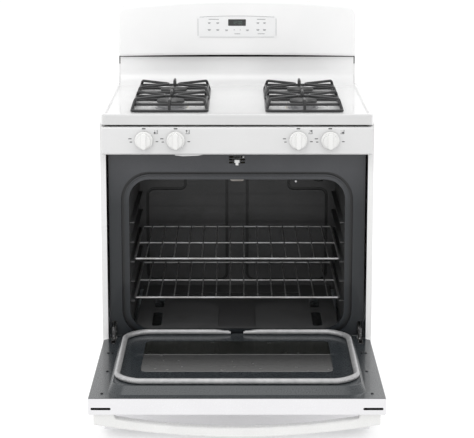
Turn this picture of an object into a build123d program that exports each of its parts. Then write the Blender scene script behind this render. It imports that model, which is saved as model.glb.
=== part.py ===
from build123d import *

import math
import os

# A freestanding gas range with its oven door open. Millimetres, +Z up, -Y is the front, and the
# origin is on the floor under the middle of the whole range, open door included.

# Overall sizes.
WIDTH = 759.0
BODY_DEPTH = 618.0  # side panels, front edge to rear edge
COOKTOP_TOP = 928.0
OVERALL_HEIGHT = 1190.0
DOOR_TOP = 524.0  # hinge pin to the door's top edge
PIN_PROUD = 8.0  # hinge pin in front of the side panels
FRONT = (DOOR_TOP + PIN_PROUD - BODY_DEPTH) / 2  # front edge of the side panels
BACK = FRONT + BODY_DEPTH
SHEET = 1.2  # steel sheet of the body
GAP = 0.5  # standard clearance between pieces that only pass each other

# Base.
LEG_HEIGHT = 25.0
RAIL_HEIGHT = 35.0
RAIL_DEPTH = 30.0
RAIL_SHEET = 2.0
LEG_STUD = 8.0
LEG_FOOT = 30.0
LEG_INSET = 60.0

# Side panels.
FRONT_FLANGE = 15.5
REAR_FLANGE = 14.0
TOP_FLANGE = 18.0
SIDE_TOP = COOKTOP_TOP - 31.0

# Valve panel under the cooktop.
PANEL_BOTTOM = 815.0
PANEL_TOP = 893.0
TOP_INSET = 5.5  # cooktop and panel ends, inside the side panels' outer faces
TOP_HALF = WIDTH / 2 - TOP_INSET
PANEL_PROUD = 35.0  # in front of the side panels
PANEL_WALL = 2.0
PANEL_EDGE = 5.5
TAB_DROP = 4.5  # lip on the panel's lower edge
PANEL_FACE = FRONT - PANEL_PROUD

# Knobs and valves.
KNOB_XS = (-256.0, -168.5, 168.5, 256.0)
KNOB_Z = 856.0
KNOB_DIAMETER = 50.0
KNOB_LENGTH = 25.0
KNOB_PUSH = 3.0
STEM = 8.0
STEM_FIT = 0.05
STEM_HOLE = 12.0
STEM_FLAT = 2.6  # from the stem's axis
VALVE = 24.0
MANIFOLD_Y = FRONT + 38.0
MANIFOLD = 16.0
MANIFOLD_HALF = 300.0
BURNER_PIPE = 9.0

# Cooktop.
SKIRT_BOTTOM = 899.0
DECK = COOKTOP_TOP - 4.0
RIM = 10.0
RIM_SLOPE = 5.0
COOKTOP_CORNER = 14.0
RISER_START = FRONT + 545.0
RISER_RADIUS = 45.0
RISER_TOP = 1011.0
RISER_HALF = TOP_HALF - 13.0

# Burners and grates.
BURNER_X = 188.0
BURNER_YS = (FRONT + 135.0, FRONT + 371.0)
WELL_RADIUS = 72.0
WELL_DEPTH = 4.0
BURNER_THROAT = 22.0
BURNER_FLANGE = 44.0
BURNER_HEAD = 36.0
BURNER_HEAD_HEIGHT = 14.0
BURNER_CAP = 39.0
BURNER_CAP_HEIGHT = 7.0
FLAME_PORTS = 28
GRATE_WIDTH = 218.0
GRATE_DEPTH = 228.0
GRATE_HEIGHT = 36.0
GRATE_ROD = 8.0
GRATE_BEND = 10.0

# Backguard.
GUARD_HALF = TOP_HALF - 9.0
GUARD_BOTTOM = 1014.0
GUARD_ARCH = 7.0  # how far the middle of its lower edge stands above its ends
GUARD_SHOULDER = OVERALL_HEIGHT - 25.0
GUARD_END_FACE = FRONT + 574.0
GUARD_BOW = 24.0  # how far the middle of the face stands in front of its ends
GUARD_WALL = 3.2
GUARD_EDGE = 9.0
OVERLAY_HALF = 121.0
OVERLAY_BOTTOM = 1075.0
OVERLAY_TOP = 1139.0
OVERLAY_ARCH = 4.0
OVERLAY_SHEET = 1.0
DISPLAY_HALF = 27.0
DISPLAY_BOTTOM = 1111.0
DISPLAY_TOP = 1131.0

# Oven cavity and the front frame around its mouth.
CAVITY_HALF = 303.0
CAVITY_FLOOR = 300.0
CAVITY_TOP = 734.0
CAVITY_CORNER = 57.0
CAVITY_BACK = FRONT + 526.0
FRAME_SETBACK = 26.0
FRAME_FACE = FRONT + FRAME_SETBACK
FRAME_HALF = WIDTH / 2 - FRONT_FLANGE - 5.0
FRAME_BOTTOM = 284.0
FRAME_TOP = PANEL_BOTTOM - 3.0
SEAT_WIDTH = 22.0  # set-back ring around the mouth
SEAT_DEPTH = 4.5
RING_WIDTH = 8.0  # groove round the outside of that ring
RING_DEPTH = 6.0  # below the ring
MOUTH_LIP = 9.0  # raised inner part of that ring
LIP_HEIGHT = 2.2
WRAPPER_FRONT = FRAME_FACE + SEAT_DEPTH + RING_DEPTH + SHEET
WRAPPER_BOTTOM = 286.0
GROOVE_WIDTH = 9.0  # grooves pressed into the back wall
GROOVE_DEPTH = 6.0
FLOOR_GAP = 13.0  # air slot on both sides of the lift-out floor
FLOOR_EMBOSS = 5.0
BURNER_BOX_BOTTOM = 240.0

# Racks.
RACK_HALF = 294.5
RACK_FRONT = FRONT + 62.0
RACK_BACK = FRONT + 486.0
RACK_MIDDLE = FRONT + 263.0
RACK_ROD = 7.0
RACK_CORNER = 5.0
RACK_WIRE = 3.6
RACK_WIRES = 14
RACK_PITCH = 40.0
RACK_LEVEL_STEP = 57.0
LOWEST_LEVEL = 383.0
LEVELS = 5
LOWER_RACK_LEVEL = 0
UPPER_RACK_LEVEL = 2
LEDGE_WIDTH = 12.0
LEDGE_SHEET = 3.0

# Door, drawn open. Its own lengths are measured from the hinge pin: "up" is towards the door's top
# edge, which points forward while the door is open, and "in" is towards the oven side.
HINGE_Y = FRONT - PIN_PROUD
HINGE_Z = 279.0
DOOR_HALF = WIDTH / 2 - 3.5
DOOR_TAIL = 30.0  # below the pin
DOOR_FACE = -43.0
FLANGE_FACE = 2.0
PLATEAU_HALF = 330.0  # at its foot
PLATEAU_BOTTOM = 1.0
PLATEAU_TOP = DOOR_TOP - 26.0
PLATEAU_FACE = 20.0
PLATEAU_CORNER = 40.0
PLATEAU_SLOPE = 9.0  # its walls lean in by this much
PLATEAU_TOP_SLOPE = 22.0
DOOR_WALL = 2.0
DOOR_EDGE = 5.5
TAIL_HALF = WIDTH / 2 - FRONT_FLANGE - 3.0  # passes between the side panels
LINER = 1.2
GASKET_FACE = 33.5
GASKET_WIDTH = 15.0
GASKET_OFFSET = 7.5  # centre line outside the oven's mouth
GASKET_BREAK = 28.0
WINDOW_HALF = 253.0
WINDOW_BOTTOM = 78.0
WINDOW_TOP = 360.0
WINDOW_CORNER = 18.0
GLASS_LAP = 9.0
GLASS = 4.0
OUTER_GLASS_HALF = 230.0
OUTER_GLASS_BOTTOM = 120.0
OUTER_GLASS_TOP = 380.0
VENT_X = 344.5
VENT_LENGTH = 51.0
VENT_HEIGHT = 6.5
VENT_IN = -26.0

# Handle, measured from the door's outer face.
HANDLE_HALF = DOOR_HALF - 12.0
HANDLE_PAD = 51.0
HANDLE_END = 29.0
HANDLE_MIDDLE = 62.0
HANDLE_GAP_HALF = 308.0
HANDLE_GAP_END = 12.0
HANDLE_GAP_MIDDLE = 37.0
HANDLE_LOW = 488.0
HANDLE_HIGH = 514.0

# Door hinges.
HINGE_X = 348.0
ARM_THICKNESS = 8.0
EAR_THICKNESS = 2.0
EAR_CLEARANCE = 0.5
EAR_RADIUS = 9.0
PIN = 8.0
PIN_FIT = 0.05
HINGE_SLOT_HALF = 7.5
ARM_BOTTOM = 288.0
ARM_TOP = 312.0

# Lamp switch behind the oven front frame.
PLUNGER_BOTTOM = 780.0
PLUNGER_TOP = 795.0
PLUNGER_HALF = 4.0
PLUNGER_HEAD = 8.0  # height of its wider tip
SWITCH_HALF = 11.0
SWITCH_DEPTH = 24.0
CROSS_SLOT = 5.5  # height of the slot above the plunger
SIDE_SLOT = 5.0  # height of the two slots on each side of it

# Drawer.
DRAWER_TOP = 224.0
DRAWER_BOTTOM = 28.0
DRAWER_FACE = FRONT - 49.0
DRAWER_BACK = FRONT - 6.0
PAN_HALF = 325.0
PAN_BOTTOM = 78.0
PAN_TOP = 185.0
PAN_LENGTH = 480.0
PAN_LIP = 25.0

# Services at the rear.
INLET_X = 330.0
INLET_Y = BACK - 45.0
INLET_Z = 95.0
INLET_RADIUS = 9.5
INLET_DEPTH = 18.0
GLAND_X = -300.0
GLAND_Z = 110.0
GLAND_BORE = 5.0
GLAND_LENGTH = 14.0
REAR_SETBACK = 4.0


def block(x, y, z):
    """A box between three (low, high) pairs."""
    spans = (x, y, z)
    middle = [(low + high) / 2 for low, high in spans]
    return Pos(*middle) * Box(*[high - low for low, high in spans])


def from_front(sketch, y):
    """Extrude a sketch drawn in X and Z through a (front, back) pair."""
    return extrude(Plane.XZ.offset(-y[1]) * sketch, amount=y[1] - y[0])


def from_side(sketch, x):
    """Extrude a sketch drawn in Y and Z through a (left, right) pair."""
    return extrude(Plane.YZ.offset(x[0]) * sketch, amount=x[1] - x[0])


def from_above(sketch, z):
    """Extrude a sketch drawn in X and Y through a (bottom, top) pair."""
    return extrude(Plane.XY.offset(z[0]) * sketch, amount=z[1] - z[0])


def shape_of(*points):
    """A closed straight-sided face."""
    return make_face(Polyline(*points, close=True))


def rounded(width, low, high, radius):
    """A rounded rectangle, centred sideways, between two heights."""
    return Pos(0, (low + high) / 2) * RectangleRounded(width, high - low, radius)


def straight_rod(start, end, diameter):
    start, end = Vector(*start), Vector(*end)
    axis = Plane(origin=start, z_dir=end - start)
    return Part() + Solid.make_cylinder(diameter / 2, (end - start).length, axis)


def bent_rod(points, radius, diameter, close=False):
    """A round rod along straight runs joined by tangent arcs."""
    path = FilletPolyline(*points, radius=radius, close=close)
    return sweep(Plane(origin=path @ 0, z_dir=path % 0) * Circle(diameter / 2), path=path)


def mirrored(shape):
    return mirror(shape, Plane.YZ)


def pair(shape):
    return [shape, mirrored(shape)]


def door_point(x, up, inward):
    """A point on the open door."""
    return (x, HINGE_Y - up, HINGE_Z + inward)


def door_block(x, up, inward):
    return block(x, (HINGE_Y - up[1], HINGE_Y - up[0]), (HINGE_Z + inward[0], HINGE_Z + inward[1]))


def door_plate(sketch, inward):
    """Extrude a sketch, drawn in X and up, through the open door's thickness."""
    turned = Pos(0, HINGE_Y) * mirror(sketch, Plane.XZ)
    return from_above(turned, (HINGE_Z + inward[0], HINGE_Z + inward[1]))


def door_profile(sketch, x):
    """Extrude a sketch, drawn in up and in, along X."""
    turned = Pos(HINGE_Y, HINGE_Z) * mirror(sketch, Plane.YZ)
    return from_side(turned, x)


# Body.


def side_panel():
    """The right side panel, folded to a front strip, a rear flange and a top flange."""
    edge = WIDTH / 2
    plan = shape_of(
        (edge - FRONT_FLANGE, FRONT),
        (edge, FRONT),
        (edge, BACK),
        (edge - REAR_FLANGE, BACK),
        (edge - REAR_FLANGE, BACK - SHEET),
        (edge - SHEET, BACK - SHEET),
        (edge - SHEET, FRONT + SHEET),
        (edge - FRONT_FLANGE, FRONT + SHEET),
    )
    wall = from_above(plan, (LEG_HEIGHT, SIDE_TOP))
    top = block((edge - TOP_FLANGE, edge), (FRONT + SHEET, BACK), (SIDE_TOP - SHEET, SIDE_TOP))
    return wall + top


def leg_places():
    inset = WIDTH / 2 - SHEET - RAIL_DEPTH / 2
    return [(side * inset, y) for side in (-1, 1) for y in (FRONT + LEG_INSET, BACK - LEG_INSET)]


def base_frame():
    """Two side rails and two cross rails, all angle section."""
    outer = WIDTH / 2 - SHEET
    inner = outer - RAIL_DEPTH
    low, high = LEG_HEIGHT, LEG_HEIGHT + RAIL_HEIGHT
    ends = (FRONT + SHEET + 12, BACK - REAR_SETBACK - SHEET - 2)
    side = block((inner, outer), ends, (low, low + RAIL_SHEET))
    side += block((outer - RAIL_SHEET, outer), ends, (low, high))
    rails = pair(side)
    for near, away in ((ends[0], 1), (ends[1], -1)):
        foot = sorted((near, near + away * RAIL_DEPTH))
        web = sorted((near, near + away * RAIL_SHEET))
        rails.append(block((-inner, inner), foot, (low, low + RAIL_SHEET)) + block((-inner, inner), web, (low, high)))
    bored = []
    for rail in rails:
        for x, y in leg_places():
            rail = rail - Pos(x, y, low) * Cylinder(LEG_STUD / 2 + 0.2, 4 * RAIL_SHEET)
        bored.append(rail)
    return bored


def levelling_legs():
    """Threaded feet, each with its lock nut against the rail."""
    legs = []
    nut = 6.0
    for x, y in leg_places():
        foot = Pos(x, y, 3) * Cylinder(LEG_FOOT / 2, 6)
        stud = Pos(x, y, 25) * Cylinder(LEG_STUD / 2, 40)
        hexagon = from_above(Pos(x, y) * RegularPolygon(8, 6), (LEG_HEIGHT - nut, LEG_HEIGHT))
        legs.append(chamfer(foot.edges().filter_by(GeomType.CIRCLE).group_by(Axis.Z)[-1], 2) + stud + hexagon)
    return legs


def rear_panel():
    half = WIDTH / 2 - REAR_FLANGE - GAP
    sheet = (BACK - REAR_SETBACK - SHEET, BACK - REAR_SETBACK)
    panel = block((-half, half), sheet, (LEG_HEIGHT + RAIL_HEIGHT + 1, SIDE_TOP - SHEET - GAP))
    window = ((INLET_X - 36, INLET_X + 32), (BACK - 20, BACK), (INLET_Z - 34, INLET_Z + 36))
    panel -= block(*window)
    panel -= Pos(GLAND_X, BACK - REAR_SETBACK, GLAND_Z) * Rot(90, 0, 0) * Cylinder(11, 10)
    for row in range(3):
        for column in range(9):
            slot = Pos(-240 + 60 * column, 820 + 20 * row) * SlotOverall(40, 5)
            panel -= from_front(slot, (BACK - 20, BACK))
    return panel


def body_screws():
    """Hexagon screws of the rear panel."""
    screws = []
    for side in (-1, 1):
        for z in (150, 400, 650, 860):
            head = Pos(side * (WIDTH / 2 - REAR_FLANGE - 12), z) * RegularPolygon(5, 6)
            screws.append(from_front(head, (BACK - REAR_SETBACK, BACK - 1)))
    return screws


# Oven.


def mouth(grow=0.0):
    """The oven mouth's outline, grown outwards."""
    return rounded(
        2 * (CAVITY_HALF + grow), CAVITY_FLOOR - grow, CAVITY_TOP + grow, CAVITY_CORNER + grow
    )


def oven_front_frame():
    """The dark frame around the mouth, with a set-back seat, switch slots and hinge notches."""
    plate = Pos(0, (FRAME_BOTTOM + FRAME_TOP) / 2) * Rectangle(2 * FRAME_HALF, FRAME_TOP - FRAME_BOTTOM)
    frame = from_front(plate - mouth(SEAT_WIDTH), (FRAME_FACE, FRAME_FACE + SHEET))
    seat, groove = FRAME_FACE + SEAT_DEPTH, FRAME_FACE + SEAT_DEPTH + RING_DEPTH
    ring = SEAT_WIDTH - RING_WIDTH
    frame += from_front(mouth(SEAT_WIDTH + SHEET) - mouth(SEAT_WIDTH), (FRAME_FACE, groove + SHEET))
    frame += from_front(mouth(SEAT_WIDTH + SHEET) - mouth(ring - SHEET), (groove, groove + SHEET))
    frame += from_front(mouth(ring) - mouth(ring - SHEET), (seat, groove + SHEET))
    frame += from_front(mouth(ring) - mouth(), (seat, seat + SHEET))
    frame += from_front(mouth(MOUTH_LIP) - mouth(), (seat - LIP_HEIGHT, seat))
    frame += from_front(mouth(SHEET) - mouth(), (seat, WRAPPER_FRONT))
    through = (FRAME_FACE - 5, groove + 5)
    frame -= block((-FRAME_HALF, FRAME_HALF), through, (FRAME_BOTTOM - 40, FRAME_BOTTOM))
    ledge = (FRONT + SHEET + 1, FRAME_FACE + SHEET)
    frame += block((-FRAME_HALF, FRAME_HALF), ledge, (FRAME_TOP - SHEET, FRAME_TOP))
    for side in (-1, 1):
        notch = (side * HINGE_X - HINGE_SLOT_HALF, side * HINGE_X + HINGE_SLOT_HALF)
        frame -= block(notch, through, (FRAME_BOTTOM - 1, ARM_TOP + 12))
    stem = PLUNGER_HALF + GAP
    cross = PLUNGER_TOP + GAP
    frame -= block((-stem, stem), through, (PLUNGER_BOTTOM - GAP, cross))
    frame -= block((-5 * stem, 4.5 * stem), through, (cross, cross + CROSS_SLOT))
    for side in (-1, 1):
        slot = sorted((side * (stem + 2.5), side * 5 * stem))
        for low in (PLUNGER_BOTTOM, PLUNGER_BOTTOM + SIDE_SLOT + 3):
            frame -= block(slot, through, (low, low + SIDE_SLOT))
    return frame


def oven_wrapper():
    """The cavity's two sides and ceiling, bent from one sheet."""
    ring = from_front(mouth(SHEET) - mouth(), (WRAPPER_FRONT, CAVITY_BACK))
    width = CAVITY_HALF + SHEET
    depth = (WRAPPER_FRONT, CAVITY_BACK)
    middle = (CAVITY_FLOOR + CAVITY_TOP) / 2
    upper = ring & block((-width, width), depth, (middle, CAVITY_TOP + SHEET))
    for side in (-1, 1):
        wall = sorted((side * CAVITY_HALF, side * width))
        upper += block(wall, depth, (WRAPPER_BOTTOM, middle))
    return upper


def oven_back_wall():
    """The rear sheet of the cavity, with a groove pressed round two stepped panels."""
    half = CAVITY_HALF + SHEET + 8
    front, back = CAVITY_BACK, CAVITY_BACK + SHEET
    wall = block((-half, half), (front, back), (WRAPPER_BOTTOM, CAVITY_TOP + 10))
    shoulder, low, step, high = 156.0, 322.0, 604.0, 704.0
    panel = shape_of((36, low), (273, low), (273, step), (shoulder, step), (shoulder, high), (36, high))
    panel = fillet(panel.vertices(), 18)
    groove = offset(panel, GROOVE_WIDTH) - panel
    shell = offset(panel, GROOVE_WIDTH + SHEET) - offset(panel, -SHEET)
    for side in (1, -1):
        turned = [groove, shell] if side > 0 else [mirror(groove, Plane.YZ), mirror(shell, Plane.YZ)]
        wall += from_front(turned[1], (front, front + GROOVE_DEPTH + SHEET))
        wall -= from_front(turned[0], (front - 1, front + GROOVE_DEPTH))
    lamp = Pos(254, 658) * Circle(20)
    probe = Pos(178, 655) * Circle(3.5)
    return wall - from_front(Sketch() + lamp + probe, (front - 20, front + 20))


def oven_bottom_panel():
    """The lift-out floor: turned-down edges, four slots and a shallow flared channel."""
    half = CAVITY_HALF - FLOOR_GAP
    front, back = WRAPPER_FRONT + GAP, CAVITY_BACK - GAP
    top = (CAVITY_FLOOR - SHEET, CAVITY_FLOOR)
    panel = block((-half, half), (front, back), top)
    skirt = (CAVITY_FLOOR - 12, CAVITY_FLOOR)
    panel += block((-half, half), (front, front + SHEET), skirt)
    for side in (-1, 1):
        panel += block(sorted((side * half, side * (half - SHEET))), (front, back), skirt)
    for near, far in ((62, 210), (260, 372)):
        for side in (-1, 1):
            slot = Pos(side * 231.5, FRONT + (near + far) / 2) * SlotOverall(far - near, 27, rotation=90)
            panel -= from_above(slot, (CAVITY_FLOOR - 20, CAVITY_FLOOR + 5))
    narrow, wide, flare = 55.0, 193.0, 82.0
    start, bend, end = FRONT + 55, FRONT + 250, FRONT + 430
    right = [
        Line((narrow, start), (narrow, bend)),
        ThreePointArc((narrow, bend), (narrow + 26, bend + 58), (wide, bend + flare)),
        Line((wide, bend + flare), (wide, end)),
    ]
    left = [mirror(edge, Plane.YZ) for edge in right]
    ends = [Line((-narrow, start), (narrow, start)), Line((-wide, end), (wide, end))]
    channel = make_face(Wire.combine([e for part in right + left + ends for e in part.edges()])[0])
    dish = from_above(channel, (CAVITY_FLOOR - FLOOR_EMBOSS - SHEET, CAVITY_FLOOR - SHEET))
    sunk = from_above(offset(channel, -SHEET), (CAVITY_FLOOR - FLOOR_EMBOSS, CAVITY_FLOOR + 1))
    return panel + dish - sunk


def oven_insulation():
    """Mineral wool round the cavity: two sides, top and rear."""
    front = WRAPPER_FRONT + 25
    outer = HINGE_X - HINGE_SLOT_HALF - 4
    inner = CAVITY_HALF + SHEET + 12
    side = block((inner, outer), (front, CAVITY_BACK), (BURNER_BOX_BOTTOM + 50, 785))
    top = block((-inner + 1, inner - 1), (front, CAVITY_BACK), (CAVITY_TOP + 12, 785))
    rear = block((-inner, inner), (CAVITY_BACK + 20, CAVITY_BACK + 60), (WRAPPER_BOTTOM, 785))
    return pair(side) + [top, rear]


def burner_box():
    """The open-topped pan that holds the bake burner under the oven floor."""
    half = CAVITY_HALF + SHEET + 6
    ends = (WRAPPER_FRONT + GAP, CAVITY_BACK)
    box = block((-half, half), ends, (BURNER_BOX_BOTTOM, WRAPPER_BOTTOM - GAP))
    inside = (BURNER_BOX_BOTTOM + SHEET, WRAPPER_BOTTOM + 1)
    return box - block((-half + SHEET, half - SHEET), (ends[0] + SHEET, ends[1] - SHEET), inside)


def bake_burner():
    """A bent burner tube on two feet."""
    z, reach, near, far = 266.0, 150.0, FRONT + 110, CAVITY_BACK - 60
    tube = bent_rod([(-reach, far, z), (-reach, near, z), (reach, near, z), (reach, far, z)], 60, 20)
    for side in (-1, 1):
        x, y = side * reach, far - 60
        tube += block((x - 8, x + 8), (y - 10, y + 10), (BURNER_BOX_BOTTOM + SHEET, z))
    return tube


def broil_burner():
    """A flattened burner tube hung from the ceiling."""
    z = 721.0
    tube = from_front(Pos(0, z) * SlotOverall(38, 10), (FRONT + 96, CAVITY_BACK))
    for y in (FRONT + 150, CAVITY_BACK - 80):
        tube += block((-6, 6), (y - 10, y + 10), (z, CAVITY_TOP))
    return tube


def oven_lamp():
    """The lamp socket and its glass dome in the back wall."""
    lens = from_front(Pos(254, 658) * Circle(27), (CAVITY_BACK - 12, CAVITY_BACK))
    lens = fillet(lens.edges().group_by(Axis.Y)[0], 8)
    socket = from_front(Pos(254, 658) * Circle(19.5), (CAVITY_BACK, CAVITY_BACK + 18))
    return lens + socket


def temperature_sensor():
    probe = from_front(Pos(178, 655) * Circle(3), (CAVITY_BACK - 125, CAVITY_BACK + 12))
    flange = block((170, 186), (CAVITY_BACK + SHEET, CAVITY_BACK + SHEET + 1.5), (640, 670))
    return probe + flange


def rack_level(index):
    return LOWEST_LEVEL + RACK_LEVEL_STEP * index


def rack_guides():
    """Ledges on both cavity walls, one pair for each rack level."""
    ledges = []
    for index in range(LEVELS):
        top = rack_level(index) - RACK_ROD / 2 - 1
        inner = CAVITY_HALF - LEDGE_WIDTH
        ends = (RACK_FRONT - 10, RACK_BACK + 10)
        ledges += pair(block((inner, CAVITY_HALF), ends, (top - LEDGE_SHEET, top)))
    return ledges


def oven_rack(level):
    """A chromed wire rack: a bent rim, two cross rods and long wires."""
    z = rack_level(level)
    x = RACK_HALF - RACK_ROD / 2
    near, far = RACK_FRONT + RACK_ROD / 2, RACK_BACK - RACK_ROD / 2
    rack = bent_rod(
        [(x, near, z), (x, far, z), (-x, far, z), (-x, near, z)], RACK_CORNER, RACK_ROD, close=True
    )
    rack += straight_rod((-x, RACK_MIDDLE, z), (x, RACK_MIDDLE, z), RACK_ROD - 1)
    over = z + 1.0
    for index in range(RACK_WIRES):
        wire = (index - (RACK_WIRES - 1) / 2) * RACK_PITCH
        rack += straight_rod((wire, near, over), (wire, far, over), RACK_WIRE)
    return rack


# Door.


def door_outline(inset=0.0):
    """The door seen square on. Its tail is narrower, to pass between the side panels."""
    half, tail = DOOR_HALF - inset, TAIL_HALF - inset
    return shape_of(
        (-half, DOOR_TOP - inset),
        (half, DOOR_TOP - inset),
        (half, 8 + inset),
        (tail, -6 + inset),
        (tail, -DOOR_TAIL + inset),
        (-tail, -DOOR_TAIL + inset),
        (-tail, -6 + inset),
        (-half, 8 + inset),
    )


def door_skin():
    """The white outer tray, with its window and the two vent slots in its top end."""
    tray = door_plate(door_outline(), (DOOR_FACE, FLANGE_FACE - LINER))
    tray = fillet(tray.faces().sort_by(Axis.Z)[0].edges(), DOOR_EDGE)
    tray -= door_plate(door_outline(DOOR_WALL), (DOOR_FACE + DOOR_WALL, FLANGE_FACE))
    window = rounded(2 * OUTER_GLASS_HALF, OUTER_GLASS_BOTTOM, OUTER_GLASS_TOP, 12)
    tray -= door_plate(window, (DOOR_FACE - 1, DOOR_FACE + DOOR_WALL + 1))
    for side in (-1, 1):
        slot = Pos(side * VENT_X, HINGE_Z + VENT_IN) * SlotOverall(VENT_LENGTH, VENT_HEIGHT)
        tray -= from_front(slot, (HINGE_Y - DOOR_TOP - 5, HINGE_Y - DOOR_TOP + 5))
    return tray


def door_outer_glass():
    """Dark glass behind the skin's window."""
    wide = rounded(2 * (OUTER_GLASS_HALF + 8), OUTER_GLASS_BOTTOM - 8, OUTER_GLASS_TOP + 8, 16)
    pane = door_plate(wide, (DOOR_FACE + DOOR_WALL, DOOR_FACE + DOOR_WALL + 3))
    fit = rounded(
        2 * (OUTER_GLASS_HALF - GAP), OUTER_GLASS_BOTTOM + GAP, OUTER_GLASS_TOP - GAP, 12 - GAP
    )
    return pane + door_plate(fit, (DOOR_FACE + 0.4, DOOR_FACE + DOOR_WALL))


def plateau_outline(inset, lean):
    """The raised plateau seen square on, at its foot (lean 0) or at its face (lean 1)."""
    low = PLATEAU_BOTTOM + inset + lean * 2
    high = PLATEAU_TOP - inset - lean * PLATEAU_TOP_SLOPE
    width = 2 * (PLATEAU_HALF - inset - lean * PLATEAU_SLOPE)
    return Pos(0, (low + high) / 2) * RectangleRounded(width, high - low, PLATEAU_CORNER - inset)


def plateau(inset, inward):
    """The plateau's sloping block between two depths."""
    foot, face = (
        Pos(0, HINGE_Y, HINGE_Z + depth) * mirror(plateau_outline(inset, lean), Plane.XZ)
        for depth, lean in zip(inward, (0, 1))
    )
    return loft([foot, face], ruled=True)


def door_liner():
    """The dark inner panel: a flat flange round a sloping plateau with the inner window."""
    liner = door_plate(door_outline(GAP), (FLANGE_FACE - LINER, FLANGE_FACE))
    raised = plateau(0, (FLANGE_FACE - LINER, PLATEAU_FACE))
    liner += fillet(raised.faces().sort_by(Axis.Z)[-1].edges(), 3)
    liner -= plateau(3, (FLANGE_FACE - 2 * LINER, PLATEAU_FACE - LINER))
    window = rounded(2 * WINDOW_HALF, WINDOW_BOTTOM, WINDOW_TOP, WINDOW_CORNER)
    liner -= door_plate(window, (0, PLATEAU_FACE + 1))
    for side in (-1, 1):
        slot = (side * HINGE_X - HINGE_SLOT_HALF, side * HINGE_X + HINGE_SLOT_HALF)
        liner -= door_block(slot, (-DOOR_TAIL - 1, 48), (-2, FLANGE_FACE + 1))
    return liner


def door_inner_glass():
    wide = rounded(
        2 * (WINDOW_HALF + GLASS_LAP), WINDOW_BOTTOM - GLASS_LAP, WINDOW_TOP + GLASS_LAP, WINDOW_CORNER
    )
    top = PLATEAU_FACE - LINER
    return door_plate(wide, (top - GLASS, top))


def door_insulation():
    """Wool inside the plateau, round the windows."""
    half = PLATEAU_HALF - PLATEAU_SLOPE - 8
    wool = rounded(2 * half, PLATEAU_BOTTOM + 9, PLATEAU_TOP - PLATEAU_TOP_SLOPE - 8, PLATEAU_CORNER)
    hole = rounded(
        2 * (WINDOW_HALF + GLASS_LAP + 3), WINDOW_BOTTOM - GLASS_LAP - 3, OUTER_GLASS_TOP + 12, 10
    )
    return door_plate(wool - hole, (DOOR_FACE + DOOR_WALL + 4, PLATEAU_FACE - LINER - 3))


def door_gasket():
    """A soft tube round the plateau, broken at the middle of the hinge side."""
    low = CAVITY_FLOOR - HINGE_Z - GASKET_OFFSET
    high = CAVITY_TOP - HINGE_Z + GASKET_OFFSET
    half = CAVITY_HALF + GASKET_OFFSET
    radius = CAVITY_CORNER + GASKET_OFFSET
    centre = rounded(2 * half, low, high, radius)
    ring = offset(centre, GASKET_WIDTH / 2) - offset(centre, -GASKET_WIDTH / 2)
    tube = door_plate(ring, (PLATEAU_FACE, GASKET_FACE))
    tube = fillet(tube.faces().sort_by(Axis.Z)[-1].edges(), 0.45 * GASKET_WIDTH)
    gap = (-GASKET_BREAK / 2, GASKET_BREAK / 2)
    return tube - door_block(gap, (low - 20, low + 20), (PLATEAU_FACE - 1, GASKET_FACE + 1))


def door_handle():
    """A bowed bar that swells from two flat end pads."""
    face = HINGE_Z + DOOR_FACE
    pad = HANDLE_HALF - HANDLE_PAD
    edges = [
        Line((-HANDLE_HALF, face), (-pad, face)),
        Line((-pad, face), (-HANDLE_GAP_HALF, face - HANDLE_GAP_END)),
        ThreePointArc(
            (-HANDLE_GAP_HALF, face - HANDLE_GAP_END),
            (0, face - HANDLE_GAP_MIDDLE),
            (HANDLE_GAP_HALF, face - HANDLE_GAP_END),
        ),
        Line((HANDLE_GAP_HALF, face - HANDLE_GAP_END), (pad, face)),
        Line((pad, face), (HANDLE_HALF, face)),
        Line((HANDLE_HALF, face), (HANDLE_HALF, face - HANDLE_END)),
        ThreePointArc(
            (HANDLE_HALF, face - HANDLE_END), (0, face - HANDLE_MIDDLE), (-HANDLE_HALF, face - HANDLE_END)
        ),
        Line((-HANDLE_HALF, face - HANDLE_END), (-HANDLE_HALF, face)),
    ]
    bar = from_front(make_face(Wire(edges)), (HINGE_Y - HANDLE_HIGH, HINGE_Y - HANDLE_LOW))
    low_edges = bar.edges().filter_by(Axis.Y, reverse=True).filter_by(lambda e: e.center().Z < face - 5)
    return fillet(low_edges, 4)


def door_hinge():
    """The right hinge's channel, with two ears on the pin."""
    gap = ARM_THICKNESS / 2 + EAR_CLEARANCE
    top = FLANGE_FACE - LINER
    cheek = shape_of((-DOOR_TAIL + 20, top), (150, top), (150, -22), (10, -22))
    cheek = cheek + Circle(EAR_RADIUS) - Circle(PIN / 2 + PIN_FIT)
    channel = door_block(
        (HINGE_X - gap, HINGE_X + gap), (40, 150), (-22, -22 + EAR_THICKNESS)
    )
    for side in (-1, 1):
        inner = HINGE_X + side * gap
        channel += door_profile(cheek, sorted((inner, inner + side * EAR_THICKNESS)))
    return channel


def hinge_arm():
    """The right hinge's fixed arm, with the pin pressed through it."""
    half = ARM_THICKNESS / 2
    web = shape_of(
        (HINGE_Y - 4, HINGE_Z + 8),
        (HINGE_Y + 6, HINGE_Z - 5),
        (FRONT + 10, ARM_BOTTOM),
        (FRONT + 120, ARM_BOTTOM),
        (FRONT + 120, ARM_TOP),
        (FRONT + 8, ARM_TOP),
    )
    boss = Pos(HINGE_Y, HINGE_Z) * Circle(EAR_RADIUS)
    hole = Pos(HINGE_Y, HINGE_Z) * Circle(PIN / 2)
    arm = from_side(web + boss - hole, (HINGE_X - half, HINGE_X + half))
    reach = half + EAR_CLEARANCE + EAR_THICKNESS + 0.6
    pin = from_side(hole, (HINGE_X - reach, HINGE_X + reach))
    bracket = block(
        (HINGE_X - half - 3, HINGE_X - half), (FRAME_FACE + SHEET, FRONT + 120), (ARM_BOTTOM - 6, ARM_TOP + 20)
    )
    return [arm, pin, bracket]


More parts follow.
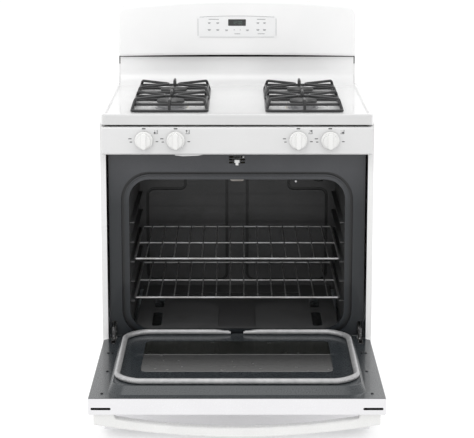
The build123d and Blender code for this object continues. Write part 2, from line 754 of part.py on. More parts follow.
def door_screws():
    """Pan-head screws in the liner's flange, two by each hinge and one at each top corner."""
    screws = []
    for x, up in ((342, 135), (354, 135), (344, 486), (344, 300)):
        for side in (-1, 1):
            centre = Pos(*door_point(side * x, up, FLANGE_FACE + 1))
            screws.append(centre * Cylinder(3.5, 2))
    return screws


def door_switch():
    """The lamp switch behind the frame, hollow for its plunger."""
    depth = (FRAME_FACE + SHEET, FRAME_FACE + SWITCH_DEPTH)
    body = block((-SWITCH_HALF, SWITCH_HALF), depth, (PLUNGER_BOTTOM - 6, PLUNGER_TOP + 8))
    hollow, bore = PLUNGER_HALF + GAP, (FRAME_FACE - 1, FRAME_FACE + SWITCH_DEPTH - 4)
    return body - block((-hollow, hollow), bore, (PLUNGER_BOTTOM - GAP, PLUNGER_TOP + GAP))


def door_switch_plunger():
    tip = HINGE_Y + FLANGE_FACE + 1
    rear = FRAME_FACE + SWITCH_DEPTH - 14
    stem = block((-PLUNGER_HALF, PLUNGER_HALF), (tip, rear), (PLUNGER_BOTTOM, PLUNGER_TOP))
    wide = PLUNGER_HALF + 3
    head = block((-wide, wide), (tip, tip + 3), (PLUNGER_TOP - PLUNGER_HEAD, PLUNGER_TOP))
    return fillet((stem + head).edges().group_by(Axis.Y)[0], 1)


# Drawer.


def drawer_front():
    """A hollow white front with two ribs that carry the pan."""
    face = block((-DOOR_HALF, DOOR_HALF), (DRAWER_FACE, DRAWER_BACK), (DRAWER_BOTTOM, DRAWER_TOP))
    face = fillet(face.faces().sort_by(Axis.Y)[0].edges(), DOOR_EDGE)
    wall = DOOR_WALL
    face -= block(
        (-DOOR_HALF + wall, DOOR_HALF - wall),
        (DRAWER_FACE + wall, DRAWER_BACK + 1),
        (DRAWER_BOTTOM + wall, DRAWER_TOP - wall),
    )
    for side in (-1, 1):
        rib = sorted((side * (PAN_HALF - 20), side * (PAN_HALF - 20 - wall)))
        face += block(rib, (DRAWER_FACE + wall, DRAWER_BACK), (DRAWER_BOTTOM + wall, DRAWER_TOP - wall))
    return face


def drawer_pan():
    """The drawer's tray, with lips that ride over the rails."""
    ends = (DRAWER_BACK, DRAWER_BACK + PAN_LENGTH)
    pan = block((-PAN_HALF, PAN_HALF), ends, (PAN_BOTTOM, PAN_TOP))
    pan -= block(
        (-PAN_HALF + SHEET, PAN_HALF - SHEET), (ends[0] + SHEET, ends[1] - SHEET), (PAN_BOTTOM + SHEET, PAN_TOP + 1)
    )
    for side in (-1, 1):
        lip = sorted((side * PAN_HALF, side * (PAN_HALF + PAN_LIP)))
        pan += block(lip, (FRONT + 30, ends[1]), (PAN_TOP - SHEET, PAN_TOP))
    return pan


def drawer_rails():
    outer = WIDTH / 2 - SHEET
    shelf_top = PAN_TOP - SHEET - GAP
    ends = (FRONT + 30, FRONT + 510)
    rail = block((PAN_HALF + 10, outer), ends, (shelf_top - 2, shelf_top))
    rail += block((outer - 2, outer), ends, (shelf_top, shelf_top + 30))
    return pair(rail)


# Valve panel.


def control_panel():
    """The white box panel that hides the valves."""
    half = TOP_HALF
    panel = block((-half, half), (PANEL_FACE, FRONT), (PANEL_BOTTOM, PANEL_TOP))
    panel = fillet(panel.faces().sort_by(Axis.Y)[0].edges(), PANEL_EDGE)
    wall = PANEL_WALL
    panel -= block(
        (-half + wall, half - wall), (PANEL_FACE + wall, FRONT + 1), (PANEL_BOTTOM + wall, PANEL_TOP - wall)
    )
    for x in KNOB_XS:
        panel -= from_front(Pos(x, KNOB_Z) * Circle(STEM_HOLE / 2), (PANEL_FACE - 5, PANEL_FACE + 10))
    tab = shape_of(
        (-171, PANEL_BOTTOM + 1),
        (-171, PANEL_BOTTOM - TAB_DROP / 2),
        (-150, PANEL_BOTTOM - TAB_DROP),
        (-108, PANEL_BOTTOM - 0.7 * TAB_DROP),
        (-86, PANEL_BOTTOM + 1),
    )
    return panel + from_front(tab, (PANEL_FACE + PANEL_EDGE, PANEL_FACE + PANEL_EDGE + PANEL_WALL))


def stem_section():
    """A round section with one flat."""
    return Circle(STEM / 2) - Pos(0, STEM) * Rectangle(2 * STEM, 2 * (STEM - STEM_FLAT))


def valve_stem(x):
    """A turned stem with a flat at its outer end, where the knob sits."""
    shoulder = PANEL_FACE + 6
    inner = from_front(Pos(x, KNOB_Z) * Circle(STEM / 2), (shoulder, FRONT + 12))
    outer = from_front(Pos(x, KNOB_Z) * stem_section(), (PANEL_FACE - KNOB_LENGTH + 4, shoulder))
    return inner + outer


def knob(x):
    """A skirted knob with a raised pointer ridge, bored for the stem's flat."""
    back = PANEL_FACE - KNOB_PUSH - 1
    face = back - KNOB_LENGTH
    skirt = from_front(Pos(x, KNOB_Z) * Circle(KNOB_DIAMETER / 2), (back - 8, back))
    skirt = fillet(skirt.edges().group_by(Axis.Y)[0], 3)
    grip = from_front(Pos(x, KNOB_Z) * Circle(19), (face + 5, back - 8))
    ridge = from_front(Pos(x, KNOB_Z) * SlotOverall(46, 14, rotation=90), (face, back - 8))
    ridge = fillet(ridge.edges().group_by(Axis.Y)[0], 2.5)
    bore = offset(stem_section(), STEM_FIT)
    depth = PANEL_FACE - KNOB_LENGTH + 4 - KNOB_PUSH - 1
    return skirt + grip + ridge - from_front(Pos(x, KNOB_Z) * bore, (depth, back + 1))


def burner_valves():
    """Valve bodies between the manifold and the panel, each bored for its stem."""
    valves = []
    for x in KNOB_XS:
        body = from_front(Pos(x, KNOB_Z) * Circle(VALVE / 2), (FRONT + 4, MANIFOLD_Y - MANIFOLD / 2))
        bore = Circle(STEM / 2 + STEM_FIT)
        valves.append(body - from_front(Pos(x, KNOB_Z) * bore, (FRONT - 5, FRONT + 22)))
    return valves


def gas_manifold():
    return straight_rod((-MANIFOLD_HALF, MANIFOLD_Y, KNOB_Z), (MANIFOLD_HALF, MANIFOLD_Y, KNOB_Z), MANIFOLD)


def gas_pipes():
    """One pipe from each valve to its burner, and the main pipe from the regulator."""
    throat = DECK - WELL_DEPTH - 22
    places = zip(KNOB_XS, (BURNER_YS[0], BURNER_YS[1], BURNER_YS[1], BURNER_YS[0]))
    pipes = []
    for x, y in places:
        side = math.copysign(BURNER_X, x)
        start = (x, FRONT + 16, KNOB_Z + VALVE / 2)
        run = KNOB_Z + VALVE / 2 + 15
        pipes.append(
            bent_rod([start, (x, FRONT + 16, run), (side, y, run), (side, y, throat)], 4.6, BURNER_PIPE)
        )
    pipes.append(
        bent_rod(
            [
                (INLET_X, INLET_Y, INLET_Z + 35),
                (INLET_X, INLET_Y, KNOB_Z),
                (INLET_X, MANIFOLD_Y, KNOB_Z),
                (MANIFOLD_HALF, MANIFOLD_Y, KNOB_Z),
            ],
            16,
            MANIFOLD - 1,
        )
    )
    return pipes


def pressure_regulator():
    """A block with a diaphragm dome, its outlet upwards and its threaded inlet to the rear."""
    mouth_y = BACK - 8
    body = block((INLET_X - 25, INLET_X + 25), (INLET_Y - 30, INLET_Y + 27), (INLET_Z - 20, INLET_Z + 20))
    body += Pos(INLET_X, INLET_Y, INLET_Z + 27) * Cylinder(12, 16)
    body += Pos(INLET_X, INLET_Y - 2, INLET_Z - 23) * Cylinder(22, 10)
    body += from_front(Pos(INLET_X, INLET_Z) * RegularPolygon(16, 6), (INLET_Y + 20, mouth_y))
    return body - from_front(Pos(INLET_X, INLET_Z) * Circle(INLET_RADIUS), (mouth_y - INLET_DEPTH, BACK))


def power_gland():
    """The bushing that a power cord passes through."""
    panel = BACK - REAR_SETBACK
    sleeve = from_front(Pos(GLAND_X, GLAND_Z) * Circle(10.5), (panel + 3 - GLAND_LENGTH, panel + 3))
    sleeve += from_front(Pos(GLAND_X, GLAND_Z) * Circle(14), (panel, panel + 3))
    return sleeve - from_front(Pos(GLAND_X, GLAND_Z) * Circle(GLAND_BORE), (BACK - 60, BACK + 5))


# Cooktop.


def burner_places():
    return [(side * BURNER_X, y) for y in BURNER_YS for side in (-1, 1)]


def riser_section():
    """The curved sheet that sweeps up from the deck to the backguard, in Y and Z."""
    radius, wall = RISER_RADIUS, SHEET
    upright = RISER_START + radius
    centre = (RISER_START, DECK + radius)
    root = math.sqrt(0.5)

    def bend(r):
        return (centre[0] + r * root, centre[1] - r * root)

    edges = [
        ThreePointArc((RISER_START, DECK), bend(radius), (upright, centre[1])),
        Line((upright, centre[1]), (upright, RISER_TOP)),
        Line((upright, RISER_TOP), (upright + wall, RISER_TOP)),
        Line((upright + wall, RISER_TOP), (upright + wall, centre[1])),
        ThreePointArc((upright + wall, centre[1]), bend(radius + wall), (RISER_START, DECK - wall)),
        Line((RISER_START, DECK - wall), (RISER_START, DECK)),
    ]
    return make_face(Wire(edges))


def cooktop():
    """A formed sheet: a rim, a sunk deck with four dished wells and a riser at the rear."""
    half, rear, wall = TOP_HALF, RISER_START + RISER_RADIUS + SHEET, 3.0
    top = block((-half, half), (PANEL_FACE, rear), (SKIRT_BOTTOM, COOKTOP_TOP))
    corners = top.edges().filter_by(Axis.Z).group_by(Axis.Y)[0]
    top = fillet(corners, COOKTOP_CORNER)
    top = fillet(top.faces().sort_by(Axis.Z)[-1].edges().sort_by(Axis.Y)[:-1], 4)
    inside = (PANEL_FACE + wall, rear - SHEET)
    under = Pos(0, sum(inside) / 2) * RectangleRounded(
        2 * (half - wall), inside[1] - inside[0], COOKTOP_CORNER - wall
    )
    top -= from_above(under, (SKIRT_BOTTOM - 1, DECK - SHEET))
    hollow = []
    for inset, height in ((RIM + RIM_SLOPE, DECK), (RIM, COOKTOP_TOP)):
        near = PANEL_FACE + inset
        deck = RectangleRounded(2 * (half - inset), RISER_START - near, 12 + RIM - inset / 2)
        hollow.append(Pos(0, (near + RISER_START) / 2, height) * deck)
    top -= loft(hollow, ruled=True)
    rear_strip = block((-RISER_HALF, RISER_HALF), (RISER_START - 14, rear + 1), (DECK, COOKTOP_TOP + 1))
    top -= rear_strip
    top -= block((-RISER_HALF, RISER_HALF), (RISER_START, rear + 1), (DECK - SHEET - 1, COOKTOP_TOP + 1))
    top += from_side(riser_section(), (-RISER_HALF, RISER_HALF))
    for x, y in burner_places():
        top += Pos(x, y, DECK - WELL_DEPTH / 2 - SHEET) * Cylinder(WELL_RADIUS + SHEET, WELL_DEPTH)
        top -= Pos(x, y, DECK - WELL_DEPTH + 5) * Cylinder(WELL_RADIUS, 10)
        top -= Pos(x, y, DECK) * Cylinder(BURNER_THROAT + GAP, 30)
    return top


def burner_heads():
    """Cast heads with a ring of flame ports."""
    base = DECK - WELL_DEPTH
    heads = []
    for x, y in burner_places():
        head = Pos(x, y, base - 11 + 1) * Cylinder(BURNER_THROAT, 22)
        head += Pos(x, y, base + 1.5) * Cylinder(BURNER_FLANGE, 3)
        top = base + 3 + BURNER_HEAD_HEIGHT
        head += Pos(x, y, (base + 3 + top) / 2) * Cylinder(BURNER_HEAD, BURNER_HEAD_HEIGHT)
        port = Pos(BURNER_HEAD, 0, top - 2.5) * Box(8, 2.6, 5)
        for index in range(FLAME_PORTS):
            head -= Pos(x, y, 0) * Rot(0, 0, 360 * index / FLAME_PORTS) * port
        heads.append(head)
    return heads


def burner_caps():
    base = DECK - WELL_DEPTH + 3 + BURNER_HEAD_HEIGHT
    caps = []
    for x, y in burner_places():
        cap = Pos(x, y, base + BURNER_CAP_HEIGHT / 2) * Cylinder(BURNER_CAP, BURNER_CAP_HEIGHT)
        caps.append(fillet(cap.edges().group_by(Axis.Z)[-1], 3))
    return caps


def spark_electrodes():
    base = DECK - WELL_DEPTH
    pins = []
    for x, y in burner_places():
        side = math.copysign(1, x)
        pins.append(Pos(x - side * (BURNER_FLANGE + 4), y, base + 8) * Cylinder(2.5, 16))
    return pins


def grate(x, y):
    """A welded wire grate: a base ring, a girdle, two fingers and two looped side fingers."""
    rest = DECK + 0.1 + GRATE_ROD / 2
    top = DECK + GRATE_HEIGHT - GRATE_ROD / 2
    girdle = (rest + top) / 2
    half, reach = (GRATE_WIDTH - GRATE_ROD) / 2, (GRATE_DEPTH - GRATE_ROD) / 2

    def ring(wide, deep, z, radius):
        corners = [(wide, -deep), (wide, deep), (-wide, deep), (-wide, -deep)]
        return bent_rod([(px, py, z) for px, py in corners], radius, GRATE_ROD, close=True)

    wires = ring(half, reach, rest, 12) + ring(half - 4.5, 82, girdle, 14)
    for side in (-1, 1):
        loop = [
            (side * half, -92, rest),
            (side * (half - 9), -73, top),
            (side * 16, -9, top),
            (side * 16, 9, top),
            (side * (half - 9), 73, top),
            (side * half, 92, rest),
        ]
        wires += bent_rod(loop, GRATE_BEND, GRATE_ROD)
        finger = [
            (0, side * reach, rest),
            (0, side * reach, top),
            (0, side * 58, top),
            (0, side * 58, top - 13),
        ]
        wires += bent_rod(finger, GRATE_BEND, GRATE_ROD)
    return Pos(x, y, 0) * wires


# Backguard.


def guard_plan(inset=0.0, open_back=False):
    """The backguard seen from above, with a bowed face."""
    half = GUARD_HALF - inset
    side, middle = GUARD_END_FACE + inset, GUARD_END_FACE - GUARD_BOW + inset
    rear = BACK + 10 if open_back else BACK - SHEET
    edges = [
        ThreePointArc((-half, side), (0, middle), (half, side)),
        Line((half, side), (half, rear)),
        Line((half, rear), (-half, rear)),
        Line((-half, rear), (-half, side)),
    ]
    return make_face(Wire(edges))


def guard_face(inset=0.0):
    """The backguard seen from the front, with an arched top."""
    half, low = GUARD_HALF - inset, GUARD_BOTTOM + inset
    shoulder, crown = GUARD_SHOULDER - inset, OVERALL_HEIGHT - inset
    edges = [
        ThreePointArc((-half, shoulder), (0, crown), (half, shoulder)),
        Line((half, shoulder), (half, low)),
        ThreePointArc((half, low), (0, low + GUARD_ARCH), (-half, low)),
        Line((-half, low), (-half, shoulder)),
    ]
    return make_face(Wire(edges))


def backguard():
    """The arched white housing, open at the rear, on a foot behind the riser."""
    heights = (GUARD_BOTTOM - 10, OVERALL_HEIGHT + 10)
    depths = (GUARD_END_FACE - GUARD_BOW - 10, BACK + 20)
    shell = from_above(guard_plan(), heights) & from_front(guard_face(), depths)
    corners = shell.edges().filter_by(Axis.Y).group_by(Axis.Z)[-1]
    shell = fillet(corners, 26)
    front = shell.faces().sort_by(Axis.Y)[0]
    shell = fillet(front.edges(), GUARD_EDGE)
    wall = GUARD_WALL
    inner = from_above(guard_plan(wall, True), heights) & from_front(guard_face(wall), depths)
    inner = fillet(inner.edges().filter_by(Axis.Y).group_by(Axis.Z)[-1], 24)
    shell -= inner
    foot = (RISER_START + RISER_RADIUS + SHEET + 2, BACK - SHEET)
    top = GUARD_BOTTOM + GUARD_ARCH + wall
    box = block((-GUARD_HALF, GUARD_HALF), foot, (SIDE_TOP, top))
    open_rear = (foot[0] + SHEET, BACK)
    hollow = block((-GUARD_HALF + wall, GUARD_HALF - wall), open_rear, (SIDE_TOP - 1, top + 1))
    return shell + box - hollow


def backguard_cover():
    face = guard_face() & Pos(0, 1100) * Rectangle(2 * GUARD_HALF - 20, 300)
    cover = from_front(offset(face, -6), (BACK - SHEET, BACK))
    return cover + block((-GUARD_HALF, GUARD_HALF), (BACK - SHEET, BACK), (SIDE_TOP + 2, GUARD_BOTTOM + 20))


def face_band(thickness):
    """A thin layer lying on the backguard's bowed face."""
    half = GUARD_HALF
    side, middle = GUARD_END_FACE, GUARD_END_FACE - GUARD_BOW
    edges = [
        ThreePointArc((-half, side), (0, middle), (half, side)),
        Line((half, side), (half, side - thickness)),
        ThreePointArc((half, side - thickness), (0, middle - thickness), (-half, side - thickness)),
        Line((-half, side - thickness), (-half, side)),
    ]
    return from_above(make_face(Wire(edges)), (OVERLAY_BOTTOM - 10, OVERLAY_TOP + 30))


def display_outline(grow=0.0):
    return rounded(2 * (DISPLAY_HALF + grow), DISPLAY_BOTTOM - grow, DISPLAY_TOP + grow, 2)


def control_overlay():
    """The raised key panel with an arched top and an opening for the display."""
    half, low, high = OVERLAY_HALF, OVERLAY_BOTTOM, OVERLAY_TOP
    edges = [
        ThreePointArc((-half, high), (0, high + OVERLAY_ARCH), (half, high)),
        Line((half, high), (half, low)),
        Line((half, low), (-half, low)),
        Line((-half, low), (-half, high)),
    ]
    face = make_face(Wire(edges))
    face = fillet(face.vertices(), 5) - display_outline(0.2)
    return from_front(face, (GUARD_END_FACE - GUARD_BOW - 20, BACK)) & face_band(OVERLAY_SHEET)


def display_window():
    lens = from_front(display_outline(), (GUARD_END_FACE - GUARD_BOW - 20, BACK))
    return lens & face_band(OVERLAY_SHEET * 0.7)


def save(name, shapes):
    """Write one node: one solid, or several separate ones."""
    group = shapes if isinstance(shapes, list) else [shapes]
    solids = [solid for shape in group for solid in shape.solids()]
    whole = solids[0] if len(solids) == 1 else Compound(solids)
    export_step(whole, os.path.join("parts", name + ".step"))


def main():
    os.makedirs("parts", exist_ok=True)
    right = side_panel()
    arm, pin, bracket = hinge_arm()
    save("side_panel_right", right)
    save("side_panel_left", mirrored(right))
    save("base_frame", base_frame())
    save("levelling_legs", levelling_legs())
    save("rear_panel", rear_panel())
    save("body_screws", body_screws())
    save("oven_front_frame", oven_front_frame())
    save("oven_wrapper", oven_wrapper())
    save("oven_back_wall", oven_back_wall())
    save("oven_bottom_panel", oven_bottom_panel())
    save("oven_insulation", oven_insulation())
    save("burner_box", burner_box())
    save("bake_burner", bake_burner())
    save("broil_burner", broil_burner())
    save("oven_lamp", oven_lamp())
    save("temperature_sensor", temperature_sensor())
    save("rack_guides", rack_guides())
    save("oven_rack_lower", oven_rack(LOWER_RACK_LEVEL))
    save("oven_rack_upper", oven_rack(UPPER_RACK_LEVEL))
    save("door_skin", door_skin())
    save("door_outer_glass", door_outer_glass())
    save("door_liner", door_liner())
    save("door_inner_glass", door_inner_glass())
    save("door_insulation", door_insulation())
    save("door_gasket", door_gasket())
    save("door_handle", door_handle())
    save("door_hinges", pair(door_hinge()))
    save("hinge_arms", pair(arm) + pair(pin) + pair(bracket))
    save("door_screws", door_screws())
    save("door_switch", door_switch())
    save("door_switch_plunger", door_switch_plunger())
    save("drawer_front", drawer_front())
    save("drawer_pan", drawer_pan())
    save("drawer_rails", drawer_rails())
    save("control_panel", control_panel())
    save("burner_valves", burner_valves())
    save("gas_manifold", gas_manifold())
    save("gas_pipes", gas_pipes())
    save("pressure_regulator", pressure_regulator())
    save("power_gland", power_gland())
    save("cooktop", cooktop())
    save("burner_heads", burner_heads())
    save("burner_caps", burner_caps())
    save("spark_electrodes", spark_electrodes())
    save("backguard", backguard())
    save("backguard_cover", backguard_cover())
    save("control_overlay", control_overlay())
    save("display_window", display_window())
    for number, x in enumerate(KNOB_XS, start=1):
        save(f"valve_stem_{number}", valve_stem(x))
        save(f"knob_{number}", knob(x))
    names = ("front_left", "front_right", "rear_left", "rear_right")
    for name, (x, y) in zip(names, burner_places()):
        save(f"grate_{name}", grate(x, y))


main()
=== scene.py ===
import bpy
import math
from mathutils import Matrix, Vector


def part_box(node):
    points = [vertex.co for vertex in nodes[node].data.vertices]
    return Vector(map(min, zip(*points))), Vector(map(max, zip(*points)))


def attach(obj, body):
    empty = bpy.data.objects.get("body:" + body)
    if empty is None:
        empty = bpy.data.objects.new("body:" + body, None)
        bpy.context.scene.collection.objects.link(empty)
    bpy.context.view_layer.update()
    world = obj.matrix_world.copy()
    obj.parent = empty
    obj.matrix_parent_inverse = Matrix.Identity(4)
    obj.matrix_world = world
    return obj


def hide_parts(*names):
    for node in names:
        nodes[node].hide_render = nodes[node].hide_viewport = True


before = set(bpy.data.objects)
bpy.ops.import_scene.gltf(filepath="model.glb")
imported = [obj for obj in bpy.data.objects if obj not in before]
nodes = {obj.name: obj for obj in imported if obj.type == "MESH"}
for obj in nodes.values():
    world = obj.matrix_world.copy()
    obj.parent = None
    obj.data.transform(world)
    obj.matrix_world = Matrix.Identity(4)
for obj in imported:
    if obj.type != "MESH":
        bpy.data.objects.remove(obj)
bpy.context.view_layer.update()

bpy.ops.object.select_all(action="DESELECT")

# Camera: looks down a little at the open range from straight ahead, far enough back that the
# cabinet's sides stay nearly upright.
camera_data = bpy.data.cameras.new("camera")
camera_data.lens = 127.54
camera_data.shift_y = -0.1
camera = bpy.data.objects.new("camera", camera_data)
camera.location = (0, -4.6258, 1.6361)
camera.rotation_euler = (math.radians(79.197), 0, 0)
bpy.context.collection.objects.link(camera)
bpy.context.scene.camera = camera

# Studio: one pale floor that glows faintly, as a light table does, under an even white surround,
# with soft lights above the front and the cooktop, at both sides and behind.
bpy.context.scene.view_settings.view_transform = "Standard"
world = bpy.data.worlds.new("surround")
bpy.context.scene.world = world
world.use_nodes = True
world.node_tree.nodes["Background"].inputs["Color"].default_value = (1, 1, 1, 1)
world.node_tree.nodes["Background"].inputs["Strength"].default_value = 1.0
for name, place, turn, size, power in (
    ("key_light", (-0.5, -3.0, 3.4), (41, 0, -9), 2.2, 12),
    ("upper_light", (-0.2, -0.7, 2.4), (44, 0, 0), 1.2, 6),
    ("left_light", (-3.2, -1.0, 1.9), (68, 0, -68), 2.2, 8),
    ("right_light", (3.2, -1.4, 1.7), (70, 0, 62), 2.2, 6),
    ("rear_light", (0.4, 3.2, 3.0), (-48, 0, 0), 2.6, 20),
):
    light = bpy.data.lights.new(name, "AREA")
    light.size = size
    light.energy = power
    lamp = bpy.data.objects.new(name, light)
    lamp.location = place
    lamp.rotation_euler = [math.radians(a) for a in turn]
    bpy.context.collection.objects.link(lamp)

floor_span, floor_shade, floor_glow = 80, 0.6, 0.44
bpy.ops.mesh.primitive_grid_add(x_subdivisions=12, y_subdivisions=12, size=floor_span)
floor = bpy.context.object
floor.name = "studio_floor"
floor_paint = bpy.data.materials.new("studio_floor_paint")
floor_paint.use_nodes = True
floor_shader = floor_paint.node_tree.nodes["Principled BSDF"]
floor_shader.inputs["Base Color"].default_value = (floor_shade, floor_shade, floor_shade, 1)
floor_shader.inputs["Roughness"].default_value = 0.8
floor_shader.inputs["Emission Color"].default_value = (1, 1, 1, 1)
floor_shader.inputs["Emission Strength"].default_value = floor_glow
floor.data.materials.append(floor_paint)
bpy.ops.object.select_all(action="DESELECT")


# Base: four rails of galvanised angle, welded into a frame, on four black threaded feet that
# level the range. The zinc shows as large pale and dark crystals.
def new_finish(
    name, light, dark, roughness, cloud, grain, depth, metal=0.0, coat=0.0, stretch=(1, 1, 1)
):
    """Two shades mixed by a broad cloud, with a fine grain that moves the gloss and the surface."""
    material = bpy.data.materials.new(name)
    material.use_nodes = True
    tree = material.node_tree
    shader = tree.nodes["Principled BSDF"]
    shader.inputs["Metallic"].default_value = metal
    shader.inputs["Coat Weight"].default_value = coat
    place = tree.nodes.new("ShaderNodeTexCoord")
    turn = tree.nodes.new("ShaderNodeMapping")
    turn.name = "place"
    turn.inputs["Scale"].default_value = stretch
    tree.links.new(place.outputs["Object"], turn.inputs["Vector"])
    clouds = tree.nodes.new("ShaderNodeTexNoise")
    clouds.inputs["Scale"].default_value = cloud
    clouds.inputs["Detail"].default_value = 5
    tree.links.new(turn.outputs["Vector"], clouds.inputs["Vector"])
    shades = tree.nodes.new("ShaderNodeValToRGB")
    shades.color_ramp.elements[0].position = 0.36
    shades.color_ramp.elements[0].color = (*dark, 1)
    shades.color_ramp.elements[1].position = 0.64
    shades.color_ramp.elements[1].color = (*light, 1)
    tree.links.new(clouds.outputs["Fac"], shades.inputs["Fac"])
    tree.links.new(shades.outputs["Color"], shader.inputs["Base Color"])
    grains = tree.nodes.new("ShaderNodeTexNoise")
    grains.inputs["Scale"].default_value = grain
    grains.inputs["Detail"].default_value = 3
    tree.links.new(turn.outputs["Vector"], grains.inputs["Vector"])
    gloss = tree.nodes.new("ShaderNodeMapRange")
    gloss.inputs["From Min"].default_value = 0.3
    gloss.inputs["From Max"].default_value = 0.7
    gloss.inputs["To Min"].default_value = roughness * 0.8
    gloss.inputs["To Max"].default_value = roughness * 1.25
    tree.links.new(grains.outputs["Fac"], gloss.inputs["Value"])
    tree.links.new(gloss.outputs["Result"], shader.inputs["Roughness"])
    bump = tree.nodes.new("ShaderNodeBump")
    bump.name = "bump"
    bump.inputs["Distance"].default_value = depth
    tree.links.new(grains.outputs["Fac"], bump.inputs["Height"])
    tree.links.new(bump.outputs["Normal"], shader.inputs["Normal"])
    return material


def mix_over(material, pattern, colour, share=1.0):
    """Lay a colour over a finish where a pattern's value is high."""
    tree = material.node_tree
    shader = tree.nodes["Principled BSDF"]
    under = shader.inputs["Base Color"].links[0].from_socket
    mix = tree.nodes.new("ShaderNodeMix")
    mix.data_type = "RGBA"
    mix.inputs["B"].default_value = (*colour, 1)
    amount = tree.nodes.new("ShaderNodeMath")
    amount.operation = "MULTIPLY"
    amount.inputs[1].default_value = share
    tree.links.new(pattern, amount.inputs[0])
    tree.links.new(amount.outputs[0], mix.inputs["Factor"])
    tree.links.new(under, mix.inputs["A"])
    tree.links.new(mix.outputs["Result"], shader.inputs["Base Color"])


def between(material, value, low, high):
    """Spread a value's span from low to high over 0 to 1. Low may be the larger of the two."""
    edge = material.node_tree.nodes.new("ShaderNodeMapRange")
    edge.inputs["From Min"].default_value = low
    edge.inputs["From Max"].default_value = high
    material.node_tree.links.new(value, edge.inputs["Value"])
    return edge.outputs["Result"]


def cells(material, scale, low, high):
    """A pattern of scattered spots."""
    tree = material.node_tree
    voronoi = tree.nodes.new("ShaderNodeTexVoronoi")
    voronoi.inputs["Scale"].default_value = scale
    tree.links.new(tree.nodes["place"].outputs["Vector"], voronoi.inputs["Vector"])
    return between(material, voronoi.outputs["Distance"], low, high)


def blotches(material, scale, low, high, detail=6):
    """A pattern of uneven patches."""
    tree = material.node_tree
    noise = tree.nodes.new("ShaderNodeTexNoise")
    noise.inputs["Scale"].default_value = scale
    noise.inputs["Detail"].default_value = detail
    tree.links.new(tree.nodes["place"].outputs["Vector"], noise.inputs["Vector"])
    return between(material, noise.outputs["Fac"], low, high)


def along(material, axis, low, high):
    """A pattern that rises from 0 to 1 between two places on one axis of the piece."""
    tree = material.node_tree
    parts = tree.nodes.new("ShaderNodeSeparateXYZ")
    whole = tree.nodes.new("ShaderNodeTexCoord")
    tree.links.new(whole.outputs["Object"], parts.inputs["Vector"])
    return between(material, parts.outputs[axis], low, high)


def dress(names, material):
    """Give carried-over pieces their finish."""
    for name in names:
        node = nodes[name]
        if not node.material_slots:
            node.data.materials.append(material)
        for place in node.material_slots:
            place.material = material


zinc = new_finish(
    "galvanised_sheet", (0.60, 0.62, 0.63), (0.42, 0.44, 0.46), 0.42, 45, 260, 0.00006, metal=0.9
)
mix_over(zinc, cells(zinc, 90, 0.5, 0.1), (0.72, 0.74, 0.76), 0.5)
dress(
    ["base_frame", "rear_panel", "backguard_cover", "burner_box", "drawer_rails", "drawer_pan"],
    zinc,
)
foot_plastic = new_finish(
    "foot_plastic", (0.035, 0.035, 0.037), (0.02, 0.02, 0.022), 0.55, 60, 900, 0.0001
)
dress(["levelling_legs", "power_gland"], foot_plastic)

# Cabinet sides: folded steel sheet, sprayed white with baked enamel that dries with a very fine
# ripple, and screwed to the base frame.
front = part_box("side_panel_left")[0].y
side_paint = new_finish(
    "side_enamel", (0.79, 0.79, 0.785), (0.77, 0.77, 0.765), 0.30, 7, 420, 0.00009, coat=0.2
)
dress(["side_panel_left", "side_panel_right"], side_paint)


# Screws: the rear panel's are hexagon heads with a washer face, the door liner's are dark domed
# heads with a cross recess. Each kind is upset from wire and zinc plated or blackened.
def pick(piece, kind, test):
    """In edit mode, select only the vertices or faces whose place passes a test."""
    bpy.ops.object.mode_set(mode="EDIT")
    bpy.ops.mesh.select_mode(type=kind)
    bpy.ops.mesh.select_all(action="DESELECT")
    bpy.ops.object.mode_set(mode="OBJECT")
    if kind == "FACE":
        for face in piece.data.polygons:
            face.select = test(face.center, face.normal)
    else:
        for vertex in piece.data.vertices:
            vertex.select = test(vertex.co)
    bpy.ops.object.mode_set(mode="EDIT")


def settle(piece, name, material, body):
    """Put a new piece's place in its mesh, and give it its name, finish and body."""
    if piece.mode == "EDIT":
        bpy.ops.object.mode_set(mode="OBJECT")
    bpy.ops.object.select_all(action="DESELECT")
    piece.select_set(True)
    bpy.context.view_layer.objects.active = piece
    bpy.ops.object.transform_apply(location=True, rotation=True, scale=True)
    piece.name = piece.data.name = name
    piece.data.materials.clear()
    piece.data.materials.append(material)
    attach(piece, body)
    bpy.ops.object.select_all(action="DESELECT")
    return piece


def copies(pattern, name, places, turn, material, body, stands_for=()):
    """Copy a shape, modelled at the origin, to each place, and remove the first."""
    for number, place in enumerate(places, start=1):
        piece = bpy.data.objects.new(name, pattern.data.copy())
        bpy.context.collection.objects.link(piece)
        piece.location = place
        piece.rotation_euler = [math.radians(a) for a in turn]
        settle(piece, f"{name}_{number}", material, body)
        if stands_for:
            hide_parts(*stands_for)
    bpy.data.objects.remove(pattern)


def screw_head(radius, height, sides):
    """A domed head along +Z from the origin, with a recess for the driver."""
    bpy.ops.mesh.primitive_cylinder_add(
        vertices=sides, radius=radius, depth=height, location=(0, 0, height / 2)
    )
    head = bpy.context.object
    bpy.ops.object.transform_apply(location=True)
    pick(head, "FACE", lambda centre, normal: normal.z > 0.9)
    bpy.ops.mesh.inset(thickness=radius * 0.22)
    bpy.ops.transform.translate(value=(0, 0, height * 0.25))
    bpy.ops.mesh.inset(thickness=radius * 0.28)
    bpy.ops.transform.translate(value=(0, 0, height * 0.1))
    bpy.ops.mesh.extrude_region_move(TRANSFORM_OT_translate={"value": (0, 0, -height * 0.5)})
    bpy.ops.object.mode_set(mode="OBJECT")
    return head


